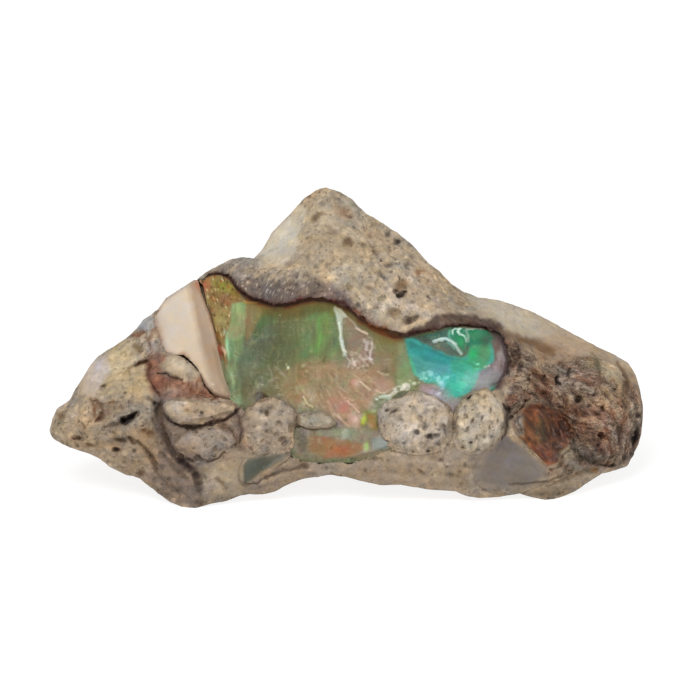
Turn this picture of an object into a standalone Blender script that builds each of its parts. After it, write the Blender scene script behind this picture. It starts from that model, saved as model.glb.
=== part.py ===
"""Rough precious opal in its volcanic-tuff matrix: one hand specimen, 45 mm long.

The stone is laid out on a front drawing. The drawing is seen from an eye point in front of the stone and a little
above it, so a point of the stone is a place on the drawing (u to the right, v downwards, in drawing units) and a
depth w in millimetres behind the plane of the left foot. X is to the right, Y away from the eye, Z up.
"""

import math

import bmesh
import bpy
import numpy as np

# ---------------------------------------------------------------- driving dimensions
UNIT = 0.0762  # mm, one drawing unit at the depth of the left foot
EYE = 222.25  # mm from the eye to that depth
TILT = math.radians(18.0)  # the eye looks down by this much
CENTRE = (350.0, 350.0)  # drawing units, the middle of the drawing
FOOT = (196.0, 508.0)  # drawing units, the left foot, which stands on Z = 0
SHIFT = (-0.064, 11.438)  # mm, puts the origin under the middle of the stone
GAP = 0.30  # mm, kept between neighbouring pieces
RECESS = 0.55  # mm, the opal face lies this far behind the rock's rim
OPAL_DEPTH = 6.5  # mm, how far the main seam reaches into the rock
POTCH_DEPTH = 5.0  # mm, thickness of the cream block
LUMPS = 0.45  # mm, height of the rock's own unevenness

FAN = UNIT / EYE
AHEAD = np.array((0.0, math.cos(TILT), -math.sin(TILT)))
UP = np.array((0.0, math.sin(TILT), math.cos(TILT)))
RIGHT = np.array((1.0, 0.0, 0.0))
EYE_POINT = np.array(
    (
        -SHIFT[0],
        -SHIFT[1],
        EYE * (math.sin(TILT) + (FOOT[1] - CENTRE[1]) * FAN * math.cos(TILT)),
    )
)
EYE_POINT[1] -= EYE * (math.cos(TILT) - (FOOT[1] - CENTRE[1]) * FAN * math.sin(TILT))

# ---------------------------------------------------------------- outline of the stone on the drawing
TOP = (
    (50, 430), (52, 424), (58, 409), (70, 400), (78, 386), (90, 366), (98, 356), (118, 344), (132, 334), (143, 320),
    (152, 314), (166, 298), (180, 289), (196, 279), (212, 268), (228, 260), (242, 257), (254, 258), (262, 250),
    (272, 232), (288, 216), (304, 200), (316, 191), (326, 188), (340, 192), (352, 200), (366, 213), (384, 224),
    (400, 235), (414, 248), (426, 262), (440, 271), (452, 284), (464, 292), (478, 298), (500, 300), (520, 307),
    (540, 316), (560, 327), (580, 337), (600, 348), (614, 354), (628, 363), (636, 375), (640, 391), (643.5, 408),
)
BOTTOM = (
    (50, 430), (52, 436), (57, 441), (70, 447), (85, 452), (100, 459), (110, 468), (125, 474), (140, 479), (150, 487),
    (160, 495), (170, 502), (182, 507), (196, 508), (210, 504), (225, 501), (240, 495), (250, 493), (262, 494),
    (275, 491), (290, 483), (305, 479), (320, 477), (332, 475), (345, 477), (360, 481), (380, 485), (400, 485),
    (428, 489), (455, 492), (466, 496), (480, 498), (495, 497), (508, 495), (520, 493), (532, 497), (545, 500),
    (555, 499), (566, 495), (578, 489), (590, 481), (602, 473), (616, 470), (626, 466), (632, 457), (638, 446),
    (641, 434), (643.5, 408),
)

# ---------------------------------------------------------------- depth of the front, at places on the drawing
RELIEF = (
    (50, 430, 3.4), (58, 410, 3.6), (60, 440, 2.6), (78, 386, 4.2), (80, 420, 1.8), (85, 452, 1.9), (98, 356, 5.2),
    (100, 390, 2.6), (100, 430, 0.9), (103, 460, 1.6), (118, 344, 5.8), (125, 370, 3.2), (125, 410, 0.9),
    (125, 445, 0.4), (125, 474, 1.6), (143, 320, 6.2), (150, 350, 3.8), (150, 385, 1.9), (150, 420, 0.6),
    (150, 455, 0.2), (150, 487, 1.0), (166, 298, 6.2), (170, 502, 0.6), (180, 320, 4.6), (178, 365, 2.2),
    (180, 470, 0.0), (190, 282, 6.2), (196, 508, 0.0), (200, 400, 1.0), (200, 430, 0.2), (200, 345, 3.2),
    (212, 268, 6.2), (215, 310, 3.8), (225, 500, 0.6), (228, 360, 2.6), (228, 275, 4.2), (235, 400, 1.6),
    (240, 440, 0.6), (242, 257, 5.6), (245, 470, 0.3), (250, 493, 1.0), (252, 298, 2.4), (256, 345, 2.6),
    (262, 250, 6.2), (275, 275, 3.2), (285, 305, 1.6), (290, 482, 1.2), (300, 380, 2.2), (300, 440, 1.0),
    (300, 465, 0.6), (288, 216, 6.8), (305, 235, 4.8), (326, 188, 6.8), (325, 225, 4.6), (325, 260, 2.8),
    (330, 302, 1.4), (343, 345, 1.9), (332, 475, 1.2), (345, 420, 1.6), (365, 213, 6.8), (365, 250, 3.8),
    (366, 322, 1.5), (375, 285, 2.0), (375, 445, 1.2), (375, 465, 0.8), (380, 485, 1.0), (400, 235, 7.2),
    (405, 265, 4.2), (403, 335, 1.7), (410, 300, 2.2), (400, 380, 2.3), (415, 420, 1.3), (420, 460, 0.9),
    (428, 489, 1.0), (440, 271, 7.4), (440, 300, 3.8), (440, 325, 2.4), (450, 365, 3.2), (470, 297, 7.6),
    (478, 420, 1.4), (470, 460, 1.0), (480, 498, 1.2), (483, 325, 3.4), (495, 350, 3.6), (500, 300, 9.4),
    (505, 372, 2.9), (505, 440, 1.9), (510, 320, 7.0), (512, 345, 3.8), (520, 493, 1.6), (525, 380, 3.0),
    (535, 335, 7.4), (540, 316, 10.4), (545, 360, 4.8), (545, 430, 2.8), (545, 475, 1.6), (545, 500, 1.88),
    (575, 355, 7.0), (580, 337, 10.6), (580, 390, 3.4), (585, 440, 2.8), (585, 484, 2.8), (605, 365, 6.2),
    (614, 354, 9.2), (615, 410, 3.8), (615, 450, 3.6), (616, 470, 4.6), (636, 378, 8.0), (636, 410, 5.4),
    (643, 410, 7.0), (638, 446, 6.2),
)

# ---------------------------------------------------------------- the fracture planes of the hidden sides
# outward direction, and a point on the plane in mm from the left foot's depth (x from the drawing's middle)
PLANES = (
    ((0.10, 1.0, 0.12), (2.0, 22.3, 6.0)),  # back
    ((-0.62, 0.78, 0.08), (-11.0, 17.5, 6.0)),  # back, left
    ((0.50, 0.86, -0.05), (13.0, 20.0, 5.0)),  # back, right
    ((-0.08, 0.62, 0.78), (-2.0, 17.2, 19.6)),  # upper back
    ((0.33, 0.60, 0.75), (12.5, 16.0, 13.6)),  # upper back, right
    ((-0.42, 0.55, 0.72), (-11.0, 15.5, 15.3)),  # upper back, left
    ((0.05, 0.72, -0.69), (0.0, 21.0, 2.5)),  # under the back
    ((-0.42, 0.25, -0.87), (-17.0, 10.0, 2.0)),  # under the left end
    ((0.45, 0.15, -0.88), (19.0, 10.0, 1.5)),  # under the right end
)
FACET_BLEND = 0.5  # mm, how softly two planes meet


def place(u, v, w):
    """Drawing place and depth to millimetres in the stone's frame."""
    u, v, w = (np.asarray(a, float) for a in (u, v, w))
    ray = (
        AHEAD
        + ((u - CENTRE[0]) * FAN)[..., None] * RIGHT
        - ((v - CENTRE[1]) * FAN)[..., None] * UP
    )
    return EYE_POINT + (EYE + w)[..., None] * ray


def lattice(points, seed):
    """Smooth noise in -1 to 1 at points, one swing per unit of length."""
    cell = np.floor(points).astype(np.int64)
    part = points - cell
    part = part * part * part * (part * (part * 6 - 15) + 10)
    total = np.zeros(len(points))
    for dx in (0, 1):
        for dy in (0, 1):
            for dz in (0, 1):
                mix = (
                    (cell[:, 0] + dx) * 374761393
                    + (cell[:, 1] + dy) * 668265263
                    + (cell[:, 2] + dz) * 1442695041
                    + seed * 97531
                ) & 0x7FFFFFFF
                mix = ((mix ^ (mix >> 13)) * 1274126177) & 0x7FFFFFFF
                mix = ((mix ^ (mix >> 16)) * 974634777) & 0x7FFFFFFF
                value = (mix & 0xFFFF) / 32767.5 - 1
                weight = (
                    (part[:, 0] if dx else 1 - part[:, 0])
                    * (part[:, 1] if dy else 1 - part[:, 1])
                    * (part[:, 2] if dz else 1 - part[:, 2])
                )
                total += value * weight
    return total


def spline_kernel(r2):
    return np.where(r2 > 0, r2 * np.log(np.maximum(r2, 1e-12)), 0.0)


def fitted(points):
    """A thin sheet bent through (u, v, w) points, as a function of u and v."""
    points = np.array(points, float)
    flat = points[:, :2] / 100
    count = len(flat)
    matrix = np.zeros((count + 3, count + 3))
    apart = flat[:, None] - flat[None]
    matrix[:count, :count] = spline_kernel((apart**2).sum(-1)) + 0.002 * np.eye(count)
    matrix[:count, count] = matrix[count, :count] = 1
    matrix[:count, count + 1 :] = flat
    matrix[count + 1 :, :count] = flat.T
    weights = np.linalg.solve(matrix, np.concatenate([points[:, 2], np.zeros(3)]))

    def sheet(u, v):
        at = np.stack([np.ravel(u), np.ravel(v)], -1) / 100
        far = at[:, None] - flat[None]
        out = spline_kernel((far**2).sum(-1)) @ weights[:count]
        return out + weights[count] + at @ weights[count + 1 :]

    return sheet


front = fitted(RELIEF)


def edge(points):
    """A boundary line of the drawing as v over u."""
    us, vs = np.array(points, float).T
    return lambda u: np.interp(u, us, vs)


def away(u, v, points):
    """Millimetres on the drawing from each place to a boundary line."""
    line = np.array(points, float)
    at = np.stack([u, v], -1)[:, None]
    start, along = line[:-1][None], (line[1:] - line[:-1])[None]
    t = np.clip(
        ((at - start) * along).sum(-1) / np.maximum((along**2).sum(-1), 1e-9), 0, 1
    )
    near = start + t[..., None] * along
    return np.sqrt(((at - near) ** 2).sum(-1)).min(1) * UNIT


def exit_depth(u, v, normal, point):
    """Depth at which the line of sight leaves the half space behind a plane."""
    normal = np.array(normal) / np.linalg.norm(normal)
    point = np.array(point) - np.array((SHIFT[0], SHIFT[1], 0.0))
    ray = (place(u, v, np.zeros_like(u)) - EYE_POINT) / EYE
    return (normal @ (point - EYE_POINT)) / (ray @ normal) - EYE


def back(u, v):
    """Depth of the hidden surface: fracture planes, closed to the front along the outline."""
    near = front(u, v)
    exits = np.stack([exit_depth(u, v, n, p) for n, p in PLANES])
    least = exits.min(0)
    soft = least - FACET_BLEND * np.log(np.exp(-(exits - least) / FACET_BLEND).sum(0))
    upper, lower = away(u, v, TOP), away(u, v, BOTTOM)
    closing = np.minimum(
        2.3 * upper + 1.6 * np.sqrt(upper), 7.0 * lower + 2.5 * np.sqrt(lower)
    )
    base = exit_depth(u, v, (0, 0, -1), (0, 0, 0))
    ease = 0.6
    gap = soft - near - closing
    depth = near + np.where(
        gap > 0,
        closing - 0.5 * np.maximum(ease - gap, 0) ** 2 / (2 * ease),
        soft - near - 0.5 * np.maximum(ease + gap, 0) ** 2 / (2 * ease),
    )
    depth = np.maximum(depth, near + 0.5 * np.minimum(closing, 1.0))
    return np.minimum(depth, base)


# ---------------------------------------------------------------- building
def collection(name):
    made = bpy.data.collections.new(name)
    bpy.context.scene.collection.children.link(made)
    return made


def material(name, colour, roughness, transmission=0.0):
    made = bpy.data.materials.new(name)
    made.use_nodes = True
    shader = made.node_tree.nodes["Principled BSDF"]
    shader.inputs["Base Color"].default_value = (*colour, 1)
    shader.inputs["Roughness"].default_value = roughness
    shader.inputs["Metallic"].default_value = 0.0
    shader.inputs["Transmission Weight"].default_value = transmission
    return made


def finished(mesh_maker, name, into, finish=None):
    """A mesh object from a filled bmesh, its faces turned outwards."""
    bm = mesh_maker
    bmesh.ops.recalc_face_normals(bm, faces=bm.faces)
    if bm.calc_volume(signed=True) < 0:
        bmesh.ops.reverse_faces(bm, faces=bm.faces)
    mesh = bpy.data.meshes.new(name)
    bm.to_mesh(mesh)
    bm.free()
    mesh.shade_smooth()
    mesh.set_sharp_from_angle(angle=math.radians(40))
    made = bpy.data.objects.new(name, mesh)
    into.objects.link(made)
    if finish:
        mesh.materials.append(finish)
    return made


def section_body(name, into, finish, top, bottom, near, far, along, around, lumps=0.0):
    """A round body whose poles are its left and right ends. Each meridian ring is one upright section: up the near
    side from the lower outline to the upper one, and down the far side again."""
    left, right = top[0][0], top[-1][0]
    upper, lower = edge(top), edge(bottom)
    bm = bmesh.new()
    bmesh.ops.create_uvsphere(bm, u_segments=around, v_segments=along, radius=1)
    bm.verts.ensure_lookup_table()
    at = np.array([vert.co[:] for vert in bm.verts])
    share = np.arccos(np.clip(-at[:, 2], -1, 1)) / math.pi
    share = 0.55 * share + 0.45 * (1 - np.cos(math.pi * share)) / 2
    turn = np.arctan2(at[:, 1], at[:, 0]) / math.pi
    turn[np.abs(at[:, 2]) > 0.99999] = 0.5
    turn[turn < -0.99999] = 1.0
    fore = turn >= 0
    rise = np.where(fore, turn, (1 - np.cos(math.pi * turn)) / 2)
    u = left + (right - left) * share
    v = lower(u) + (upper(u) - lower(u)) * rise
    depth = np.where(fore, near(u, v), far(u, v, rise, share))
    points = place(u, v, depth)
    if lumps:
        push = lumps * (
            lattice(points / 4.2, 3) + 0.5 * lattice(points / 1.9, 8)
        )
        middle = points.mean(0)
        outward = points - middle
        outward /= np.linalg.norm(outward, axis=1)[:, None]
        hold = np.clip(points[:, 2] / 0.8, 0, 1)
        inside = np.clip(
            np.minimum(away(u, v, TOP), away(u, v, BOTTOM)) / 1.2, 0, 1
        )
        # the outline keeps its drawn place, and the foot stays flat
        points = points + outward * (push * hold * inside)[:, None]
    for vert, point in zip(bm.verts, points):
        vert.co = point * 0.001
    bmesh.ops.triangulate(bm, faces=bm.faces)
    return finished(bm, name, into, finish)


def pebble(name, into, finish, outline, near, far, fineness, grow=0.0, forward=0.0):
    """A rounded body that fills an outline on the drawing: a ball whose rim is the outline. near and far give its
    surface depths at places on the drawing, for a dome of 0 at the rim and 1 in the middle. A cutter is grown
    sideways and backwards, and reaches forward out of the rock."""
    outline = np.array(outline, float)
    middle = outline.mean(0)
    spoke = outline - middle
    angle = np.arctan2(spoke[:, 1], spoke[:, 0])
    order = np.argsort(angle)
    length = np.hypot(spoke[:, 0], spoke[:, 1])[order] + grow / UNIT
    bm = bmesh.new()
    bmesh.ops.create_icosphere(bm, subdivisions=fineness, radius=1)
    at = np.array([vert.co[:] for vert in bm.verts])
    theta = np.arctan2(at[:, 1], at[:, 0])
    reach = np.minimum(np.hypot(at[:, 0], at[:, 1]), 1)
    rim = np.interp(theta, angle[order], length, period=2 * math.pi)
    u = middle[0] + reach * rim * np.cos(theta)
    v = middle[1] + reach * rim * np.sin(theta)
    dome = np.sqrt(1 - reach**2)
    fore = at[:, 2] >= 0
    depth = np.where(fore, near(u, v, dome) - forward * dome**0.5, far(u, v, dome) + grow * dome)
    for vert, point in zip(bm.verts, place(u, v, depth)):
        vert.co = point * 0.001
    return finished(bm, name, into, finish)


def cut(target, cutter):
    modifier = target.modifiers.new(cutter.name, "BOOLEAN")
    modifier.operation = "DIFFERENCE"
    modifier.solver = "EXACT"
    modifier.object = cutter
    cutter.hide_render = True
    cutter.display_type = "WIRE"


def grown(top, bottom, by):
    """Two boundary lines moved apart, and their shared ends moved outwards, by so many drawing units."""
    left, right = top[0], top[-1]
    middle_left = (top[0][1] + bottom[0][1]) / 2
    middle_right = (top[-1][1] + bottom[-1][1]) / 2
    upper = [(u, v - by) for u, v in top]
    lower = [(u, v + by) for u, v in bottom]
    upper = [(left[0] - by, middle_left)] + upper + [(right[0] + by, middle_right)]
    lower = [(left[0] - by, middle_left)] + lower + [(right[0] + by, middle_right)]
    return tuple(upper), tuple(lower)


# ---------------------------------------------------------------- outlines of the pieces in the front face
SEAM_TOP = (
    (203, 281), (214, 275), (228, 277), (238, 291), (252, 300), (269, 305), (284, 306), (301, 302), (315, 300),
    (331, 303), (344, 307), (356, 315), (366, 324), (378, 330), (392, 335), (403, 337), (421, 335), (433, 331),
    (445, 326), (462, 325), (483, 327), (499, 334), (506, 348), (509, 360),
)
SEAM_BOTTOM = (
    (203, 281), (207, 300), (212, 318), (218, 345), (224, 372), (231, 400), (245, 410), (262, 424), (280, 442),
    (296, 456), (320, 459), (350, 459), (372, 455), (390, 448), (410, 442), (440, 432), (460, 414), (480, 402),
    (495, 390), (505, 374), (509, 360),
)
POTCH_TOP = (
    (156, 314), (166, 298), (180, 289), (194, 280), (199, 284), (203, 300), (208, 320), (214, 347), (220, 374),
    (228, 395),
)
POTCH_BOTTOM = ((156, 314), (160, 338), (166, 353), (180, 358), (198, 373), (212, 391), (228, 395))
CLASTS = {
    "clast_centre_left": ((243, 414), (252, 406), (264, 402), (280, 398), (292, 404), (297, 414), (297, 430),
        (294, 445), (285, 450), (268, 450), (252, 446), (243, 436)),
    "clast_small": ((303, 414), (312, 411), (322, 413), (331, 420), (329, 428), (316, 432), (303, 430)),
    "clast_centre": ((379, 410), (388, 402), (402, 396), (418, 392), (434, 398), (446, 405), (448, 420), (447, 438),
        (438, 449), (415, 452), (392, 446), (381, 432)),
    "clast_right": ((453, 412), (457, 402), (468, 395), (480, 391), (492, 394), (501, 404), (504, 418), (502, 434),
        (494, 446), (480, 453), (464, 452), (456, 440), (452, 426)),
    "clast_upper_left": ((166, 404), (185, 399), (210, 399), (226, 402), (234, 408), (226, 416), (205, 421),
        (190, 424), (175, 418), (166, 411)),
    "clast_lower_left": ((174, 438), (190, 431), (210, 429), (226, 432), (234, 442), (228, 452), (215, 459),
        (195, 459), (182, 452)),
}
LOWER = ((244, 467), (248, 461), (258, 458), (272, 456), (286, 459), (282, 464), (270, 469), (258, 477), (248, 484),
    (243, 478))
LILAC = ((482, 466), (496, 452), (506, 436), (512, 443), (520, 450), (532, 456), (541, 466), (536, 480), (515, 487),
    (495, 487), (482, 478))
IRON = ((511, 420), (516, 414), (524, 409), (534, 405), (548, 409), (560, 419), (571, 432), (569, 446), (557, 460),
    (546, 465), (536, 458), (526, 446), (516, 436), (511, 430))
BULGE = {
    "clast_centre_left": 0.9, "clast_small": 0.35, "clast_centre": 0.8, "clast_right": 1.2,
    "clast_upper_left": 0.7, "clast_lower_left": 0.7,
}

# ---------------------------------------------------------------- the stone
for leftover in list(bpy.data.objects):
    bpy.data.objects.remove(leftover, do_unlink=True)
stone = collection("opal_in_matrix")
cutters = collection("cutters")

tuff = material("tuff", (0.52, 0.42, 0.31), 0.93)
lapilli = material("pale_tuff", (0.58, 0.50, 0.41), 0.92)
fire = material("precious_opal", (0.16, 0.36, 0.20), 0.12, 0.4)
potch = material("common_opal", (0.70, 0.60, 0.48), 0.35, 0.05)
milky = material("milky_opal", (0.36, 0.33, 0.34), 0.2, 0.4)
rusty = material("iron_stained_opal", (0.20, 0.07, 0.02), 0.25, 0.4)

host = section_body(
    "host_rock", stone, tuff, TOP, BOTTOM, front, lambda u, v, rise, share: back(u, v), along=44, around=36,
    lumps=LUMPS,
)


def seam_front(u, v):
    return front(u, v) + RECESS


def seam_back(u, v, rise, share):
    swell = np.sqrt(np.clip(4 * rise * (1 - rise), 0, 1)) * np.clip(4 * share * (1 - share) * 1.6, 0, 1)
    return seam_front(u, v) + OPAL_DEPTH * swell


seam = section_body(
    "precious_opal", stone, fire, SEAM_TOP, SEAM_BOTTOM, seam_front, seam_back, along=26, around=20
)
seam_cut_top, seam_cut_bottom = grown(SEAM_TOP, SEAM_BOTTOM, GAP / UNIT)
cut(
    host,
    section_body(
        "cutter_precious_opal", cutters, None, seam_cut_top, seam_cut_bottom, lambda u, v: front(u, v) - 3.0,
        lambda u, v, rise, share: seam_back(u, v, rise, share) + GAP, along=26, around=20,
    ),
)


def block(rise, share):
    return np.clip(rise / 0.25, 0, 1) ** 0.5 * np.clip(np.minimum(share, 1 - share) / 0.12, 0, 1) ** 0.5


cream = section_body(
    "common_opal", stone, potch, POTCH_TOP, POTCH_BOTTOM, front,
    lambda u, v, rise, share: np.minimum(front(u, v) + 0.02 + POTCH_DEPTH * block(rise, share), back(u, v)),
    along=16, around=16,
)
cream_cut_top, cream_cut_bottom = grown(POTCH_TOP, POTCH_BOTTOM, GAP / UNIT)
cut(
    host,
    section_body(
        "cutter_common_opal", cutters, None, cream_cut_top, cream_cut_bottom, lambda u, v: front(u, v) - 3.0,
        lambda u, v, rise, share: front(u, v) + 0.02 + POTCH_DEPTH * block(rise, share) + GAP, along=16, around=16,
    ),
)

for name, outline in CLASTS.items():
    span = np.ptp(np.array(outline), axis=0).min() * UNIT
    bulge, bed = BULGE[name], 0.7 * span
    near = lambda u, v, dome, bulge=bulge: front(u, v) - bulge * dome
    far = lambda u, v, dome, bed=bed: front(u, v) + bed * dome
    fineness = 3 if span > 2.0 else 2
    pebble(name, stone, lapilli, outline, near, far, fineness)
    cutter = pebble("cutter_" + name, cutters, None, outline, near, far, fineness, grow=GAP, forward=2.5)
    cut(host, cutter)
    if name in ("clast_centre_left", "clast_small", "clast_centre", "clast_right"):
        cut(seam, cutter)

for name, finish, outline, sink, bed in (
    ("lower_opal", milky, LOWER, 0.25, 1.8), ("lilac_opal", milky, LILAC, 0.45, 2.6), ("iron_opal", rusty, IRON, 0.9, 2.6),
):
    near = lambda u, v, dome, sink=sink: front(u, v) + sink * dome
    far = lambda u, v, dome, sink=sink, bed=bed: front(u, v) + (sink + bed) * dome
    pebble(name, stone, finish, outline, near, far, 3)
    cut(host, pebble("cutter_" + name, cutters, None, outline, near, far, 3, grow=GAP, forward=3.0))
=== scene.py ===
"""Looks of the rough opal in its tuff matrix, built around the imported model.

The stone is laid out on the same front drawing as the model: u to the right and v downwards in drawing units of
0.0762 mm, and w the depth in millimetres behind the left foot, seen from an eye point in front and above.
"""

import math

import bmesh
import bpy
import numpy as np
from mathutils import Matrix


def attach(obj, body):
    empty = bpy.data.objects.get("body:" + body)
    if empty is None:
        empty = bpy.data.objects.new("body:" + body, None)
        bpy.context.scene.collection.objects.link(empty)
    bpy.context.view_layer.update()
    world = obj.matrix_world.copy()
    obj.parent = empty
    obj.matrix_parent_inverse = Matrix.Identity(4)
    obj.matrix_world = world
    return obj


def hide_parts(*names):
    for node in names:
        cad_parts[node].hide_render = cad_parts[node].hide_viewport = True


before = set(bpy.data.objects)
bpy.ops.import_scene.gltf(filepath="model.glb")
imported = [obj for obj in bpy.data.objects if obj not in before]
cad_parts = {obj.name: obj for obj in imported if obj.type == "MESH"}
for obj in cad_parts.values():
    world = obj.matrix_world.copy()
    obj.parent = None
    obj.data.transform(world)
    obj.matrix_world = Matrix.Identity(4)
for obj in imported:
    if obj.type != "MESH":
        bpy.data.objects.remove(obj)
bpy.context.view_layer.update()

# ---------------------------------------------------------------- the drawing, as in the model
UNIT = 0.0762
EYE = 222.25
TILT = math.radians(18.0)
CENTRE = (350.0, 350.0)
FOOT = (196.0, 508.0)
SHIFT = (-0.064, 11.438)
RECESS = 0.55

FAN = UNIT / EYE
AHEAD = np.array((0.0, math.cos(TILT), -math.sin(TILT)))
UP = np.array((0.0, math.sin(TILT), math.cos(TILT)))
RIGHT = np.array((1.0, 0.0, 0.0))
EYE_POINT = np.array(
    (
        -SHIFT[0],
        -SHIFT[1] - EYE * (math.cos(TILT) - (FOOT[1] - CENTRE[1]) * FAN * math.sin(TILT)),
        EYE * (math.sin(TILT) + (FOOT[1] - CENTRE[1]) * FAN * math.cos(TILT)),
    )
)

TOP = (
    (50, 430), (52, 424), (58, 409), (70, 400), (78, 386), (90, 366), (98, 356), (118, 344), (132, 334), (143, 320),
    (152, 314), (166, 298), (180, 289), (196, 279), (212, 268), (228, 260), (242, 257), (254, 258), (262, 250),
    (272, 232), (288, 216), (304, 200), (316, 191), (326, 188), (340, 192), (352, 200), (366, 213), (384, 224),
    (400, 235), (414, 248), (426, 262), (440, 271), (452, 284), (464, 292), (478, 298), (500, 300), (520, 307),
    (540, 316), (560, 327), (580, 337), (600, 348), (614, 354), (628, 363), (636, 375), (640, 391), (643.5, 408),
)
BOTTOM = (
    (50, 430), (52, 436), (57, 441), (70, 447), (85, 452), (100, 459), (110, 468), (125, 474), (140, 479), (150, 487),
    (160, 495), (170, 502), (182, 507), (196, 508), (210, 504), (225, 501), (240, 495), (250, 493), (262, 494),
    (275, 491), (290, 483), (305, 479), (320, 477), (332, 475), (345, 477), (360, 481), (380, 485), (400, 485),
    (428, 489), (455, 492), (466, 496), (480, 498), (495, 497), (508, 495), (520, 493), (532, 497), (545, 500),
    (555, 499), (566, 495), (578, 489), (590, 481), (602, 473), (616, 470), (626, 466), (632, 457), (638, 446),
    (641, 434), (643.5, 408),
)
RELIEF = (
    (50, 430, 3.4), (58, 410, 3.6), (60, 440, 2.6), (78, 386, 4.2), (80, 420, 1.8), (85, 452, 1.9), (98, 356, 5.2),
    (100, 390, 2.6), (100, 430, 0.9), (103, 460, 1.6), (118, 344, 5.8), (125, 370, 3.2), (125, 410, 0.9),
    (125, 445, 0.4), (125, 474, 1.6), (143, 320, 6.2), (150, 350, 3.8), (150, 385, 1.9), (150, 420, 0.6),
    (150, 455, 0.2), (150, 487, 1.0), (166, 298, 6.2), (170, 502, 0.6), (180, 320, 4.6), (178, 365, 2.2),
    (180, 470, 0.0), (190, 282, 6.2), (196, 508, 0.0), (200, 400, 1.0), (200, 430, 0.2), (200, 345, 3.2),
    (212, 268, 6.2), (215, 310, 3.8), (225, 500, 0.6), (228, 360, 2.6), (228, 275, 4.2), (235, 400, 1.6),
    (240, 440, 0.6), (242, 257, 5.6), (245, 470, 0.3), (250, 493, 1.0), (252, 298, 2.4), (256, 345, 2.6),
    (262, 250, 6.2), (275, 275, 3.2), (285, 305, 1.6), (290, 482, 1.2), (300, 380, 2.2), (300, 440, 1.0),
    (300, 465, 0.6), (288, 216, 6.8), (305, 235, 4.8), (326, 188, 6.8), (325, 225, 4.6), (325, 260, 2.8),
    (330, 302, 1.4), (343, 345, 1.9), (332, 475, 1.2), (345, 420, 1.6), (365, 213, 6.8), (365, 250, 3.8),
    (366, 322, 1.5), (375, 285, 2.0), (375, 445, 1.2), (375, 465, 0.8), (380, 485, 1.0), (400, 235, 7.2),
    (405, 265, 4.2), (403, 335, 1.7), (410, 300, 2.2), (400, 380, 2.3), (415, 420, 1.3), (420, 460, 0.9),
    (428, 489, 1.0), (440, 271, 7.4), (440, 300, 3.8), (440, 325, 2.4), (450, 365, 3.2), (470, 297, 7.6),
    (478, 420, 1.4), (470, 460, 1.0), (480, 498, 1.2), (483, 325, 3.4), (495, 350, 3.6), (500, 300, 9.4),
    (505, 372, 2.9), (505, 440, 1.9), (510, 320, 7.0), (512, 345, 3.8), (520, 493, 1.6), (525, 380, 3.0),
    (535, 335, 7.4), (540, 316, 10.4), (545, 360, 4.8), (545, 430, 2.8), (545, 475, 1.6), (545, 500, 1.88),
    (575, 355, 7.0), (580, 337, 10.6), (580, 390, 3.4), (585, 440, 2.8), (585, 484, 2.8), (605, 365, 6.2),
    (614, 354, 9.2), (615, 410, 3.8), (615, 450, 3.6), (616, 470, 4.6), (636, 378, 8.0), (636, 410, 5.4),
    (643, 410, 7.0), (638, 446, 6.2),
)
PLANES = (
    ((0.10, 1.0, 0.12), (2.0, 22.3, 6.0)),
    ((-0.62, 0.78, 0.08), (-11.0, 17.5, 6.0)),
    ((0.50, 0.86, -0.05), (13.0, 20.0, 5.0)),
    ((-0.08, 0.62, 0.78), (-2.0, 17.2, 19.6)),
    ((0.33, 0.60, 0.75), (12.5, 16.0, 13.6)),
    ((-0.42, 0.55, 0.72), (-11.0, 15.5, 15.3)),
    ((0.05, 0.72, -0.69), (0.0, 21.0, 2.5)),
    ((-0.42, 0.25, -0.87), (-17.0, 10.0, 2.0)),
    ((0.45, 0.15, -0.88), (19.0, 10.0, 1.5)),
)
FACET_BLEND = 0.5

SEAM_TOP = (
    (203, 281), (214, 275), (228, 277), (238, 291), (252, 300), (269, 305), (284, 306), (301, 302), (315, 300),
    (331, 303), (344, 307), (356, 315), (366, 324), (378, 330), (392, 335), (403, 337), (421, 335), (433, 331),
    (445, 326), (462, 325), (483, 327), (499, 334), (506, 348), (509, 360),
)
SEAM_BOTTOM = (
    (203, 281), (207, 300), (212, 318), (218, 345), (224, 372), (231, 400), (245, 410), (262, 424), (280, 442),
    (296, 456), (320, 459), (350, 459), (372, 455), (390, 448), (410, 442), (440, 432), (460, 414), (480, 402),
    (495, 390), (505, 374), (509, 360),
)
POTCH_TOP = (
    (156, 314), (166, 298), (180, 289), (194, 280), (199, 284), (203, 300), (208, 320), (214, 347), (220, 374),
    (228, 395),
)
POTCH_BOTTOM = ((156, 314), (160, 338), (166, 353), (180, 358), (198, 373), (212, 391), (228, 395))
CLASTS = {
    "clast_centre_left": ((243, 414), (252, 406), (264, 402), (280, 398), (292, 404), (297, 414), (297, 430),
        (294, 445), (285, 450), (268, 450), (252, 446), (243, 436)),
    "clast_small": ((303, 414), (312, 411), (322, 413), (331, 420), (329, 428), (316, 432), (303, 430)),
    "clast_centre": ((379, 410), (388, 402), (402, 396), (418, 392), (434, 398), (446, 405), (448, 420), (447, 438),
        (438, 449), (415, 452), (392, 446), (381, 432)),
    "clast_right": ((453, 412), (457, 402), (468, 395), (480, 391), (492, 394), (501, 404), (504, 418), (502, 434),
        (494, 446), (480, 453), (464, 452), (456, 440), (452, 426)),
    "clast_upper_left": ((166, 404), (185, 399), (210, 399), (226, 402), (234, 408), (226, 416), (205, 421),
        (190, 424), (175, 418), (166, 411)),
    "clast_lower_left": ((174, 438), (190, 431), (210, 429), (226, 432), (234, 442), (228, 452), (215, 459),
        (195, 459), (182, 452)),
}
LOWER = ((244, 467), (248, 461), (258, 458), (272, 456), (286, 459), (282, 464), (270, 469), (258, 477), (248, 484),
    (243, 478))
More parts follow.
